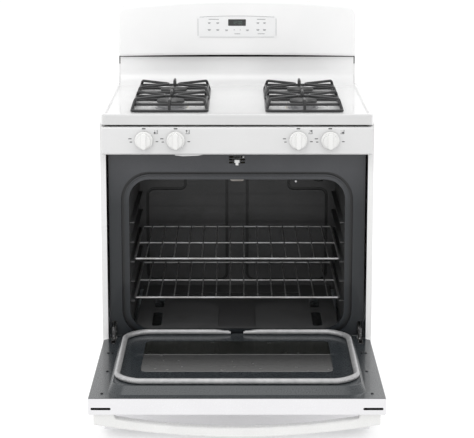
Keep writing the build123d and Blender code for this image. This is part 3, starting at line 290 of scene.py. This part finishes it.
steel_bright = new_finish(
    "plated_steel", (0.58, 0.58, 0.59), (0.40, 0.40, 0.41), 0.30, 50, 600, 0.00006, metal=1.0
)
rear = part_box("rear_panel")[1].y
hexagon = screw_head(radius=0.005, height=0.0024, sides=6)
washer_step, washer_spread, washer_thickness = 0.0001, 1.3, 0.0006
pick(hexagon, "FACE", lambda centre, normal: normal.z < -0.9)
bpy.ops.mesh.extrude_region_move(TRANSFORM_OT_translate={"value": (0, 0, -washer_step)})
bpy.ops.transform.resize(value=(washer_spread, washer_spread, 1), center_override=(0, 0, 0))
bpy.ops.mesh.extrude_region_move(TRANSFORM_OT_translate={"value": (0, 0, -washer_thickness)})
bpy.ops.object.mode_set(mode="OBJECT")
screw_column, screw_rows = 0.3535, (0.15, 0.40, 0.65, 0.86)
screw_standoff = 0.0007
places = [(side * screw_column, rear + screw_standoff, z) for side in (-1, 1) for z in screw_rows]
copies(
    hexagon,
    "rear_screw",
    places,
    (-90, 0, 0),
    steel_bright,
    "cabinet",
    ["body_screws"],
)

screw_black = new_finish(
    "blackened_screw", (0.05, 0.05, 0.052), (0.03, 0.03, 0.032), 0.3, 90, 800, 0.00005, metal=0.8
)
cross_radius, cross_height = 0.0036, 0.0016
cross = screw_head(cross_radius, cross_height, sides=24)
rim = cross_radius * 0.5


def outside_cross(place):
    """The recess rim's corners that lie between the arms of the cross."""
    angle = math.degrees(math.atan2(place.y, place.x)) % 90
    in_rim = place.z > cross_height / 2 and math.hypot(place.x, place.y) < rim * 1.05
    return in_rim and 20 < angle < 70


pick(cross, "VERT", outside_cross)
cross_pinch = 0.5
bpy.ops.transform.resize(value=(cross_pinch, cross_pinch, 1), center_override=(0, 0, 0))
bpy.ops.object.mode_set(mode="OBJECT")
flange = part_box("door_screws")[0].z
pin_proud, hinge_height = 0.008, 0.279
hinge_line = front - pin_proud
places = [
    (side * x, hinge_line - up, flange)
    for side in (-1, 1)
    for x, up in ((0.342, 0.135), (0.354, 0.135), (0.344, 0.486), (0.344, 0.300))
]
copies(cross, "liner_screw", places, (0, 0, 0), screw_black, "door", ["door_screws"])

# Oven: pressed steel coated with dark blue-grey porcelain enamel, fired with a fine pale fleck.
# The front frame is smooth and glossy, with painted shade on its lower part and inside its folds.
# The cavity is duller, with stains of old heat, and painted shade in the pressed creases of its
# back wall and floor.
frame_enamel = new_finish(
    "frame_enamel", (0.050, 0.052, 0.058), (0.040, 0.042, 0.048), 0.40, 9, 500, 0.00008, coat=0.2
)
mix_over(frame_enamel, cells(frame_enamel, 700, 0.28, 0.10), (0.12, 0.13, 0.145), 0.5)
# Painted shade: the frame darkens from 0.76 m high down to 0.66 m, and stays dark below.
pale_down_to, dark_up_to = 0.76, 0.66
shadow = along(frame_enamel, "Z", pale_down_to, dark_up_to)
mix_over(frame_enamel, shadow, (0.006, 0.009, 0.012), 0.9)
frame_front = front + 0.026
# Painted shade: the frame's faces darken from 3 mm behind its front face, fully by 8 mm, so the
# insides of its folds show dark.
mix_over(
    frame_enamel,
    along(frame_enamel, "Y", frame_front + 0.003, frame_front + 0.008),
    (0.006, 0.006, 0.007),
    0.9,
)
dress(["oven_front_frame"], frame_enamel)
cavity_enamel = new_finish(
    "cavity_enamel", (0.074, 0.074, 0.075), (0.054, 0.055, 0.056), 0.42, 6, 380, 0.00014, coat=0.1
)
mix_over(cavity_enamel, cells(cavity_enamel, 420, 0.26, 0.10), (0.17, 0.175, 0.18), 0.5)
mix_over(cavity_enamel, blotches(cavity_enamel, 14, 0.58, 0.72), (0.030, 0.029, 0.028), 0.5)
dress(["oven_wrapper", "rack_guides"], cavity_enamel)
wall_enamel = cavity_enamel.copy()
wall_enamel.name = "back_wall_enamel"
wall_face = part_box("oven_back_wall")[0].y
# Painted shade: the back wall's faces darken to near black from 0.2 mm behind its front face, fully
# by 1.5 mm, so its pressed creases show dark.
mix_over(
    wall_enamel,
    along(wall_enamel, "Y", wall_face + 0.0002, wall_face + 0.0015),
    (0.004, 0.004, 0.004),
    0.97,
)
dress(["oven_back_wall"], wall_enamel)
floor_enamel = cavity_enamel.copy()
floor_enamel.name = "oven_floor_enamel"
oven_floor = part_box("oven_bottom_panel")[1].z
# Painted shade: the oven floor's faces darken to near black from 0.3 mm below its top, fully by 1
# mm, in its pressed channels; faces deeper than about 4.5 mm, the channel bottoms, go back to a
# plain grey.
mix_over(
    floor_enamel,
    along(floor_enamel, "Z", oven_floor - 0.0003, oven_floor - 0.001),
    (0.010, 0.010, 0.010),
    0.95,
)
mix_over(
    floor_enamel,
    along(floor_enamel, "Z", oven_floor - 0.0042, oven_floor - 0.0048),
    (0.050, 0.050, 0.051),
    0.97,
)
dress(["oven_bottom_panel"], floor_enamel)


# Wool: yellow-white mineral fibre in soft slabs, pushed between the cavity and the cabinet, and a
# thinner slab inside the door round its windows.
def wool_slab(node, name, body):
    """A slab of fibre in the space of a plain one, with a lumpy surface that only sinks inwards."""
    slab = bpy.data.objects.new(name, nodes[node].data.copy())
    bpy.context.collection.objects.link(slab)
    slab.select_set(True)
    bpy.context.view_layer.objects.active = slab
    bpy.ops.object.mode_set(mode="EDIT")
    bpy.ops.mesh.select_all(action="SELECT")
    bpy.ops.mesh.remove_doubles(threshold=0.00001)
    bpy.ops.object.mode_set(mode="OBJECT")
    grid = slab.modifiers.new("grid", "REMESH")
    grid.voxel_size = 0.009
    lumps = bpy.data.textures.new(name + "_lumps", "CLOUDS")
    lumps.noise_scale = 0.03
    sink = slab.modifiers.new("sink", "DISPLACE")
    sink.texture = lumps
    sink.strength = 0.004
    sink.mid_level = 1.0
    for modifier in ("grid", "sink"):
        bpy.ops.object.modifier_apply(modifier=modifier)
    bpy.ops.object.shade_smooth()
    settle(slab, name, wool, body)
    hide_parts(node)


wool = new_finish(
    "mineral_wool", (0.62, 0.56, 0.36), (0.44, 0.38, 0.22), 0.9, 30, 420, 0.0012, stretch=(1, 3, 3)
)
wool_slab("oven_insulation", "cavity_wool", "cabinet")
wool_slab("door_insulation", "door_wool", "door")

# Oven fittings: a glass lamp dome, a steel probe, and burners of pressed steel that have turned
# brown with heat.
burner_steel = new_finish(
    "burner_steel", (0.30, 0.28, 0.26), (0.12, 0.10, 0.09), 0.45, 16, 300, 0.0001, metal=0.9
)
dress(["bake_burner", "broil_burner"], burner_steel)
dress(["temperature_sensor"], steel_bright)
lamp_glass = new_finish("lamp_glass", (0.55, 0.56, 0.54), (0.42, 0.43, 0.41), 0.12, 30, 300, 0.0001)
lamp_glass.node_tree.nodes["Principled BSDF"].inputs["Transmission Weight"].default_value = 0.7
dress(["oven_lamp"], lamp_glass)

# Racks: steel wire, bent, spot welded and chromed. The chrome has gone slightly dull and brown
# with use.
chrome = new_finish(
    "rack_chrome", (0.52, 0.52, 0.53), (0.36, 0.355, 0.35), 0.38, 26, 500, 0.00005, metal=0.85
)
dress(["oven_rack_lower", "oven_rack_upper"], chrome)

# Door switch: a long white plastic plunger in a black housing behind the frame, with a small
# white lever beside it. It turns the lamp on when the door opens.
switch_black = new_finish(
    "switch_black", (0.02, 0.02, 0.021), (0.012, 0.012, 0.013), 0.5, 80, 1200, 0.00005
)
dress(["door_switch"], switch_black)
white_plastic = new_finish(
    "white_plastic", (0.78, 0.78, 0.77), (0.75, 0.75, 0.74), 0.26, 14, 700, 0.00005, coat=0.2
)
dress(["door_switch_plunger"], white_plastic)
lever_place, lever_size = (0.0175, front + 0.027, 0.79825), (0.0046, 0.004, 0.0042)
bpy.ops.mesh.primitive_cube_add(size=1, location=lever_place, scale=lever_size)
lever = bpy.context.object
bpy.ops.object.transform_apply(scale=True)
pick(lever, "FACE", lambda centre, normal: normal.y < -0.9)
bpy.ops.mesh.inset(thickness=0.0007)
bpy.ops.transform.translate(value=(0, -0.0012, 0))
settle(lever, "lamp_switch_lever", white_plastic, "cabinet")

# Hinges: the fixed arms are thick dull steel hooked over the frame, and the door's channels are
# folded steel sheet. Both are dark with grease, worn to bare pale spots.
hinge_steel = new_finish(
    "hinge_steel", (0.020, 0.020, 0.021), (0.010, 0.010, 0.010), 0.5, 60, 700, 0.0001, metal=0.3
)
mix_over(hinge_steel, blotches(hinge_steel, 240, 0.60, 0.63, 2), (0.50, 0.50, 0.50), 0.9)
dress(["hinge_arms", "door_hinges"], hinge_steel)

# Door tray and drawer front: enamelled white sheet, with dark glass held behind the window.
door_paint = new_finish(
    "door_enamel", (0.775, 0.77, 0.785), (0.755, 0.75, 0.765), 0.24, 7, 420, 0.00007, coat=0.3
)
dress(["door_skin", "drawer_front"], door_paint)
dark_glass = new_finish(
    "dark_glass", (0.012, 0.012, 0.013), (0.008, 0.008, 0.009), 0.06, 20, 60, 0.00002, coat=0.6
)
dress(["door_outer_glass"], dark_glass)

# Behind the door's two top slots: black strips, bent to shape. They are painted shade, dark sheets
# that stand for the shade inside the door, so the slots show black.
slot_shade_paint = new_finish(
    "slot_shade_paint", (0.003, 0.003, 0.003), (0.002, 0.002, 0.002), 0.9, 60, 600, 0.0001
)
slot_shade_paint.node_tree.nodes["Principled BSDF"].inputs["Specular IOR Level"].default_value = 0.1
slot_x, slot_up, slot_height = 0.3415, 0.524, hinge_height - 0.026
shade_block_size, shade_block_hollow, shade_block_behind = (0.060, 0.006, 0.014), 0.0045, 0.0052
bpy.ops.mesh.primitive_cube_add(size=1, location=(0, 0, 0), scale=shade_block_size)
shade_block = bpy.context.object
bpy.ops.object.transform_apply(scale=True)
pick(shade_block, "FACE", lambda centre, normal: normal.y < -0.9)
bpy.ops.mesh.inset(thickness=0.0012)
bpy.ops.mesh.extrude_region_move(TRANSFORM_OT_translate={"value": (0, shade_block_hollow, 0)})
bpy.ops.object.mode_set(mode="OBJECT")
shade_block_y = hinge_line - slot_up + shade_block_behind
places = [(side * slot_x, shade_block_y, slot_height) for side in (-1, 1)]
copies(shade_block, "vent_shade_block", places, (0, 0, 0), slot_shade_paint, "door")

# Door liner: the same dark enamel as the oven, glossier, round an inner window of dark glass. The
# glass carries painted light: a pale line, dark bands, a painted reflection that pales it towards
# its near end, and a painted highlight at its near edge.
liner_enamel = new_finish(
    "liner_enamel", (0.028, 0.033, 0.037), (0.021, 0.026, 0.030), 0.28, 8, 420, 0.00008, coat=0.3
)
mix_over(liner_enamel, cells(liner_enamel, 620, 0.28, 0.10), (0.075, 0.083, 0.09), 0.4)
dress(["door_liner"], liner_enamel)
clear_glass = new_finish(
    "clear_glass", (0.012, 0.013, 0.011), (0.008, 0.009, 0.007), 0.22, 9, 40, 0.00002
)
pane_far, pane_near = hinge_line - 0.078, hinge_line - 0.360
pale_line = pane_far - 0.122
pale_from, near_edge = pale_line - 0.03, pane_near + 0.006
# Painted light along the pane, far to near: a pale line 0.2 m from the hinge with dark bands nearer
# it, a painted reflection that pales the glass towards its near end, and a painted highlight over
# its nearest 6 mm.
for start, end, shade, share in (
    (pale_line - 0.004, pale_line - 0.010, (0.075, 0.075, 0.074), 1.0),
    (pale_from, pane_near, (0.22, 0.22, 0.218), 1.0),
    (pale_line + 0.001, pale_line, (0.26, 0.26, 0.26), 0.9),
    (pale_line - 0.0035, pale_line - 0.0045, (0.060, 0.060, 0.060), 0.97),
    (pale_from, near_edge, (0.21, 0.21, 0.208), 0.95),
    (near_edge + 0.002, near_edge, (0.34, 0.34, 0.34), 0.9),
):
    mix_over(clear_glass, along(clear_glass, "Y", start, end), shade, share)
clear_glass.node_tree.nodes["Principled BSDF"].inputs["Transmission Weight"].default_value = 0.3
clear_glass.node_tree.nodes["Principled BSDF"].inputs["Specular IOR Level"].default_value = 0.25
dress(["door_inner_glass"], clear_glass)

# Gasket: a tube of silver glass-fibre braid over wire, laid round the liner and pinched flat where
# its two ends meet a gap at the hinge side.
braid = new_finish(
    "gasket_braid", (0.60, 0.60, 0.60), (0.48, 0.48, 0.485), 0.42, 60, 900, 0.00015, metal=0.5
)
for angle in (45, -45):
    strands = braid.node_tree.nodes.new("ShaderNodeTexWave")
    strands.inputs["Scale"].default_value = 140
    lean = braid.node_tree.nodes.new("ShaderNodeMapping")
    lean.inputs["Rotation"].default_value = (0, 0, math.radians(angle))
    braid.node_tree.links.new(
        braid.node_tree.nodes["place"].outputs["Vector"], lean.inputs["Vector"]
    )
    braid.node_tree.links.new(lean.outputs["Vector"], strands.inputs["Vector"])
    mix_over(braid, between(braid, strands.outputs["Fac"], 0.75, 0.25), (0.26, 0.26, 0.265), 0.35)
tube = 0.0075
gasket_low, gasket_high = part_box("door_gasket")
middle = gasket_low.z + tube
half, near, far = gasket_high.x - tube, gasket_low.y + tube, gasket_high.y - tube
bend = 0.0645
pull = bend * 0.45
gap_half, end_pull = 0.018, 0.03
corner_points = [
    ((gap_half, far), (end_pull, 0)),
    ((half - bend, far), (pull, 0)),
    ((half, far - bend), (0, -pull)),
    ((half, near + bend), (0, -pull)),
    ((half - bend, near), (-pull, 0)),
    ((-half + bend, near), (-pull, 0)),
    ((-half, near + bend), (0, pull)),
    ((-half, far - bend), (0, pull)),
    ((-half + bend, far), (pull, 0)),
    ((-gap_half, far), (end_pull, 0)),
]
line = bpy.data.curves.new("gasket_line", "CURVE")
line.dimensions = "3D"
line.bevel_depth = tube
line.bevel_resolution = 5
line.resolution_u = 16
line.use_fill_caps = True
spline = line.splines.new("BEZIER")
spline.bezier_points.add(len(corner_points) - 1)
for point, ((x, y), (dx, dy)) in zip(spline.bezier_points, corner_points):
    point.co = (x, y, middle)
    point.handle_left = (x - dx, y - dy, middle)
    point.handle_right = (x + dx, y + dy, middle)
gasket = bpy.data.objects.new("door_gasket_braid", line)
bpy.context.collection.objects.link(gasket)
gasket.select_set(True)
bpy.context.view_layer.objects.active = gasket
bpy.ops.object.convert(target="MESH")
gasket = bpy.context.object
for side in (1, -1):
    for reach, flat in ((0.06, 0.9), (0.04, 0.85), (0.025, 0.7)):
        pick(gasket, "VERT", lambda place: 0 < side * place.x < reach and place.y > far - 0.02)
        bpy.ops.transform.resize(
            value=(1, flat, flat), center_override=(0, far, middle - tube * 0.9)
        )
bpy.ops.object.mode_set(mode="OBJECT")
bpy.ops.object.shade_smooth()
settle(gasket, "door_gasket_braid", braid, "door")
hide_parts("door_gasket")

# Door handle: one bowed bar moulded in glossy white plastic, screwed on from inside the door.
dress(["door_handle"], white_plastic)

# Gas supply: brass valves on a steel manifold, and aluminium pipes to the burners.
brass = new_finish(
    "valve_brass", (0.60, 0.44, 0.19), (0.45, 0.31, 0.12), 0.30, 60, 500, 0.00008, metal=1.0
)
dress(["burner_valves", "valve_stem_1", "valve_stem_2", "valve_stem_3", "valve_stem_4"], brass)
pipe_metal = new_finish(
    "pipe_aluminium", (0.66, 0.67, 0.68), (0.50, 0.51, 0.53), 0.36, 40, 700, 0.00006, metal=1.0
)
dress(["gas_pipes", "pressure_regulator"], pipe_metal)
dress(["gas_manifold"], burner_steel)

# Control panel and cooktop: pressed steel under thick white porcelain enamel. The marks round the
# knobs are printed in grey ink.
top_enamel = new_finish(
    "cooktop_enamel", (0.83, 0.83, 0.83), (0.81, 0.81, 0.81), 0.2, 6, 300, 0.00006, coat=0.4
)
panel_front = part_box("control_panel")[0].y
# Painted shade: the cooktop darkens to grey within 8 mm of the control panel's face, fully within 2
# mm, so its front lip shows shaded.
mix_over(
    top_enamel, along(top_enamel, "Y", panel_front + 0.008, panel_front + 0.002), (0.60, 0.60, 0.60)
)
dress(["cooktop"], top_enamel)
# Painted shade: the control panel's white enamel is the cooktop's made darker, 0.68 against 0.83.
panel_shaded_enamel = new_finish(
    "panel_shaded_enamel", (0.68, 0.68, 0.68), (0.66, 0.66, 0.66), 0.22, 6, 300, 0.00006, coat=0.4
)
dress(["control_panel"], panel_shaded_enamel)
ink = new_finish("grey_ink", (0.045, 0.045, 0.048), (0.025, 0.025, 0.028), 0.5, 200, 2000, 0.00001)
printed = []


def print_bar(x, y, z, wide, high, turn=0.0):
    """A thin rounded bar of ink that faces forward."""
    bpy.ops.mesh.primitive_cube_add(
        size=1, location=(x, y, z), scale=(wide, 0.0003, high), rotation=(0, 0, turn)
    )
    bar = bpy.context.object
    bpy.ops.object.transform_apply(location=False, rotation=False, scale=True)
    bpy.ops.object.mode_set(mode="EDIT")
    bpy.ops.mesh.select_mode(type="EDGE")
    bpy.ops.mesh.select_all(action="DESELECT")
    bpy.ops.object.mode_set(mode="OBJECT")
    for edge in bar.data.edges:
        a, b = (bar.data.vertices[v].co for v in edge.vertices)
        edge.select = abs(a.y - b.y) > 0.0001
    bpy.ops.object.mode_set(mode="EDIT")
    bpy.ops.mesh.bevel(offset=min(wide, high) * 0.35, segments=2)
    bpy.ops.object.mode_set(mode="OBJECT")
    printed.append(bar)


def gather(name, material, body):
    """Join the bars printed so far into one piece."""
    bpy.ops.object.select_all(action="DESELECT")
    for bar in printed:
        bar.select_set(True)
    bpy.context.view_layer.objects.active = printed[0]
    bpy.ops.object.join()
    whole = bpy.context.object
    printed.clear()
    return settle(whole, name, material, body)


ink_proud = 0.0001
panel = panel_front - ink_proud
knob_height = 0.856
knob_columns = ((-0.256, (-1, -1)), (-0.1685, (-1, 1)), (0.1685, (1, 1)), (0.256, (1, -1)))
burner_dot, other_dot = 0.0044, 0.0018
for x, lit in knob_columns:
    print_bar(x, panel, knob_height + 0.0320, 0.0105, 0.0032)
    print_bar(x - 0.0380, panel, knob_height + 0.0040, 0.0090, 0.0022)
    print_bar(x - 0.0355, panel, knob_height - 0.0050, 0.0068, 0.0022)
    print_bar(x + 0.0360, panel, knob_height - 0.0040, 0.0075, 0.0022)
    icon_x, icon_z, icon = x + 0.0325, knob_height + 0.0235, 0.0055
    print_bar(icon_x, panel, icon_z - icon, 2 * icon, 0.0011)
    print_bar(icon_x + icon, panel, icon_z, 0.0011, 2 * icon)
    for across in (-1, 1):
        for up in (-1, 1):
            dot = burner_dot if (across, up) == lit else other_dot
            print_bar(icon_x + across * icon * 0.45, panel, icon_z + up * icon * 0.45, dot, dot)
gather("knob_marks", ink, "cabinet")

# Knobs: moulded white plastic, pushed onto the flats of the valve stems.
dress(["knob_1", "knob_2", "knob_3", "knob_4"], white_plastic)

# Burners: cast aluminium heads under black enamelled iron caps. Beside each stands a spark
# electrode, a white ceramic post with a bare wire tip.
head_metal = new_finish(
    "head_aluminium", (0.46, 0.46, 0.47), (0.30, 0.30, 0.31), 0.5, 60, 800, 0.0002, metal=0.85
)
dress(["burner_heads"], head_metal)
cap_enamel = new_finish(
    "cap_enamel", (0.040, 0.040, 0.041), (0.026, 0.026, 0.027), 0.48, 40, 600, 0.0001
)
dress(["burner_caps"], cap_enamel)
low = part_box("spark_electrodes")[0].z
ceramic = new_finish(
    "white_ceramic", (0.78, 0.76, 0.72), (0.66, 0.63, 0.58), 0.35, 120, 700, 0.00006, coat=0.2
)
foot_radius, foot_height, wire_length = 0.0036, 0.002, 0.0048
bpy.ops.mesh.primitive_cylinder_add(
    vertices=20, radius=foot_radius, depth=foot_height, location=(0, 0, foot_height / 2)
)
post = bpy.context.object
bpy.ops.object.transform_apply(location=True)
for rise, scale in ((0.0008, 0.72), (0.006, 0.95), (0.0015, 0.8), (0.0003, 0.4)):
    pick(post, "FACE", lambda centre, normal: normal.z > 0.9 and centre.z > foot_height / 2)
    bpy.ops.mesh.extrude_region_move(TRANSFORM_OT_translate={"value": (0, 0, rise)})
    bpy.ops.transform.resize(value=(scale, scale, 1), center_override=(0, 0, 0))
    bpy.ops.object.mode_set(mode="OBJECT")
bpy.ops.object.mode_set(mode="EDIT")
bpy.ops.mesh.extrude_region_move(TRANSFORM_OT_translate={"value": (0, 0, wire_length)})
bpy.ops.object.mode_set(mode="OBJECT")
burner_x, burner_rows, post_inwards = 0.188, (0.135, 0.371), 0.048
burners = [(side * burner_x, front + y) for y in burner_rows for side in (-1, 1)]
places = [(x - math.copysign(post_inwards, x), y, low) for x, y in burners]
copies(post, "spark_post", places, (0, 0, 0), ceramic, "cabinet", ["spark_electrodes"])

# Grates: welded steel rod under black satin enamel, a little greyer in their top 3 mm.
grates = ["grate_front_left", "grate_front_right", "grate_rear_left", "grate_rear_right"]
grate_enamel = new_finish(
    "grate_enamel", (0.015, 0.015, 0.016), (0.008, 0.008, 0.009), 0.38, 40, 500, 0.00018, coat=0.1
)
height = grate_enamel.node_tree.nodes.new("ShaderNodeSeparateXYZ")
grate_enamel.node_tree.links.new(
    grate_enamel.node_tree.nodes["place"].outputs["Vector"], height.inputs["Vector"]
)
grate_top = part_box(grates[0])[1].z
mix_over(
    grate_enamel,
    between(grate_enamel, height.outputs["Z"], grate_top - 0.003, grate_top),
    (0.050, 0.050, 0.052),
    0.5,
)
dress(grates, grate_enamel)

# Backguard: one white enamelled shell with an arched top. Its control overlay is a satin plastic
# film with printed key marks round a dark display window.
guard_enamel = new_finish(
    "backguard_enamel", (0.83, 0.83, 0.83), (0.81, 0.81, 0.81), 0.2, 6, 300, 0.00006, coat=0.4
)
dress(["backguard"], guard_enamel)
film = new_finish(
    "overlay_film", (0.80, 0.803, 0.806), (0.785, 0.788, 0.79), 0.42, 20, 900, 0.00004
)
dress(["control_overlay"], film)
lens = new_finish(
    "display_lens", (0.012, 0.013, 0.013), (0.008, 0.009, 0.009), 0.1, 60, 200, 0.00002, coat=0.5
)
dress(["display_window"], lens)


guard_face, guard_bow, guard_half = 0.549, 0.024, 0.365


def bowed(x):
    """Where ink lies on the overlay's forward face, which stands forward in the middle."""
    return front + guard_face + guard_bow * (x / guard_half) ** 2 - ink_proud


def bow_turn(x):
    """How far the bowed face is turned at a place across it."""
    return math.atan(2 * guard_bow * x / guard_half**2)


def key_mark(x, z, wide, lines=2):
    """A printed key: short lines in place of words."""
    line_step, line_height = 0.0026, 0.0014
    for row in range(lines):
        width = wide * (1 - 0.25 * row)
        print_bar(x, bowed(x), z - row * line_step, width, line_height, bow_turn(x))


key_mark(-0.071, 1.131, 0.032, 1)
key_mark(0.074, 1.131, 0.026, 1)
for x in (-0.085, -0.059, 0.064, 0.084):
    key_mark(x, 1.1205, 0.0085)
    key_mark(x, 1.0995, 0.0095)
for x, wide in ((-0.032, 0.0095), (-0.0085, 0.004), (0.010, 0.003), (0.032, 0.0095)):
    key_mark(x, 1.0985, wide, 2 if wide > 0.005 else 1)
key_mark(0.001, 1.0865, 0.018, 1)
key_mark(0.074, 1.0865, 0.021, 1)
film_ink = new_finish("film_ink", (0.20, 0.20, 0.21), (0.15, 0.15, 0.16), 0.5, 200, 2000, 0.00001)
gather("overlay_marks", film_ink, "cabinet")
# A grey line is drawn round the overlay's edges, wider along its top.
edge_line_grey = new_finish("edge_line_grey", (0.40, 0.40, 0.41), (0.34, 0.34, 0.35), 0.5, 200, 2000, 0.00001)
overlay_half, overlay_low, overlay_high, overlay_arch = 0.1195, 1.0765, 1.1372, 0.004
dashes, dash_length = 20, 0.0125
for step in range(dashes):
    x = overlay_half * (-0.905 + 1.81 * step / (dashes - 1))
    rise = overlay_arch * (1 - (x / overlay_half) ** 2)
    print_bar(x, bowed(x), overlay_low, dash_length, 0.0009, bow_turn(x))
    print_bar(x, bowed(x), overlay_high + rise, dash_length, 0.0014, bow_turn(x))
middle_height = (overlay_low + overlay_high) / 2
side_height = overlay_high - overlay_low - 0.008
for x in (-overlay_half, overlay_half):
    print_bar(x, bowed(x), middle_height, 0.0012, side_height, bow_turn(x))
gather("overlay_border", edge_line_grey, "cabinet")

# Backguard strip: a black strip between the riser's back and the backguard's foot. It is painted
# shade, a dark sheet that stands for the shade in the gap under the backguard's arched lower edge.
gap_shade_paint = new_finish(
    "gap_shade_black", (0.006, 0.006, 0.006), (0.004, 0.004, 0.004), 0.8, 60, 700, 0.0001
)
gap_shade_paint.node_tree.nodes["Principled BSDF"].inputs["Specular IOR Level"].default_value = 0.1
bpy.ops.mesh.primitive_grid_add(x_subdivisions=24, y_subdivisions=2, size=1)
shade_strip = bpy.context.object
bpy.ops.object.mode_set(mode="EDIT")
bpy.ops.mesh.select_all(action="SELECT")
bpy.ops.mesh.extrude_region_move(TRANSFORM_OT_translate={"value": (0, 0, 1)})
bpy.ops.mesh.select_all(action="SELECT")
bpy.ops.mesh.normals_make_consistent(inside=False)
bpy.ops.object.mode_set(mode="OBJECT")
shade_strip_back, shade_strip_low, shade_strip_end = front + 0.5922, 0.990, 1.0135
shade_strip_length, shade_strip_thickness, shade_strip_arch = 0.728, 0.0016, 0.0065
for vertex in shade_strip.data.vertices:
    across, deep, up = vertex.co
    arch = shade_strip_arch * (1 - (2 * across) ** 2)
    y = shade_strip_back + (deep - 0.5) * shade_strip_thickness
    vertex.co = (across * shade_strip_length, y, shade_strip_low + up * (shade_strip_end - shade_strip_low + arch))
settle(shade_strip, "backguard_shade_strip", gap_shade_paint, "cabinet")

# Clock digits: dim pale-green segments on the display window, with a colon between them.
segments = {"1": "bc", "2": "abged", "0": "abcdef"}
shapes = {
    "a": (0, 1, 1), "b": (1, 0.5, 0), "c": (1, -0.5, 0), "d": (0, -1, 1),
    "e": (-1, -0.5, 0), "f": (-1, 0.5, 0), "g": (0, 0, 1),
}
glow = new_finish("clock_glow", (0.14, 0.20, 0.18), (0.11, 0.16, 0.14), 0.4, 90, 900, 0.00001)
digit_height, digit_width, stroke = 0.0042, 0.0024, 0.0009
clock_height, clock_face = 1.121, bowed(0) + 0.0002
for place, digit in zip((-0.0115, -0.0045, 0.0055, 0.0125), "1200"):
    for name in segments[digit]:
        across, up, flat = shapes[name]
        size = (2 * digit_width * 0.8, stroke) if flat else (stroke, digit_height * 0.85)
        x, z = place + across * digit_width, clock_height + up * digit_height
        print_bar(x, clock_face, z, *size)
for up in (-0.0018, 0.0018):
    print_bar(0.0005, clock_face, clock_height + up, stroke, stroke)
gather("clock_digits", glow, "cabinet")
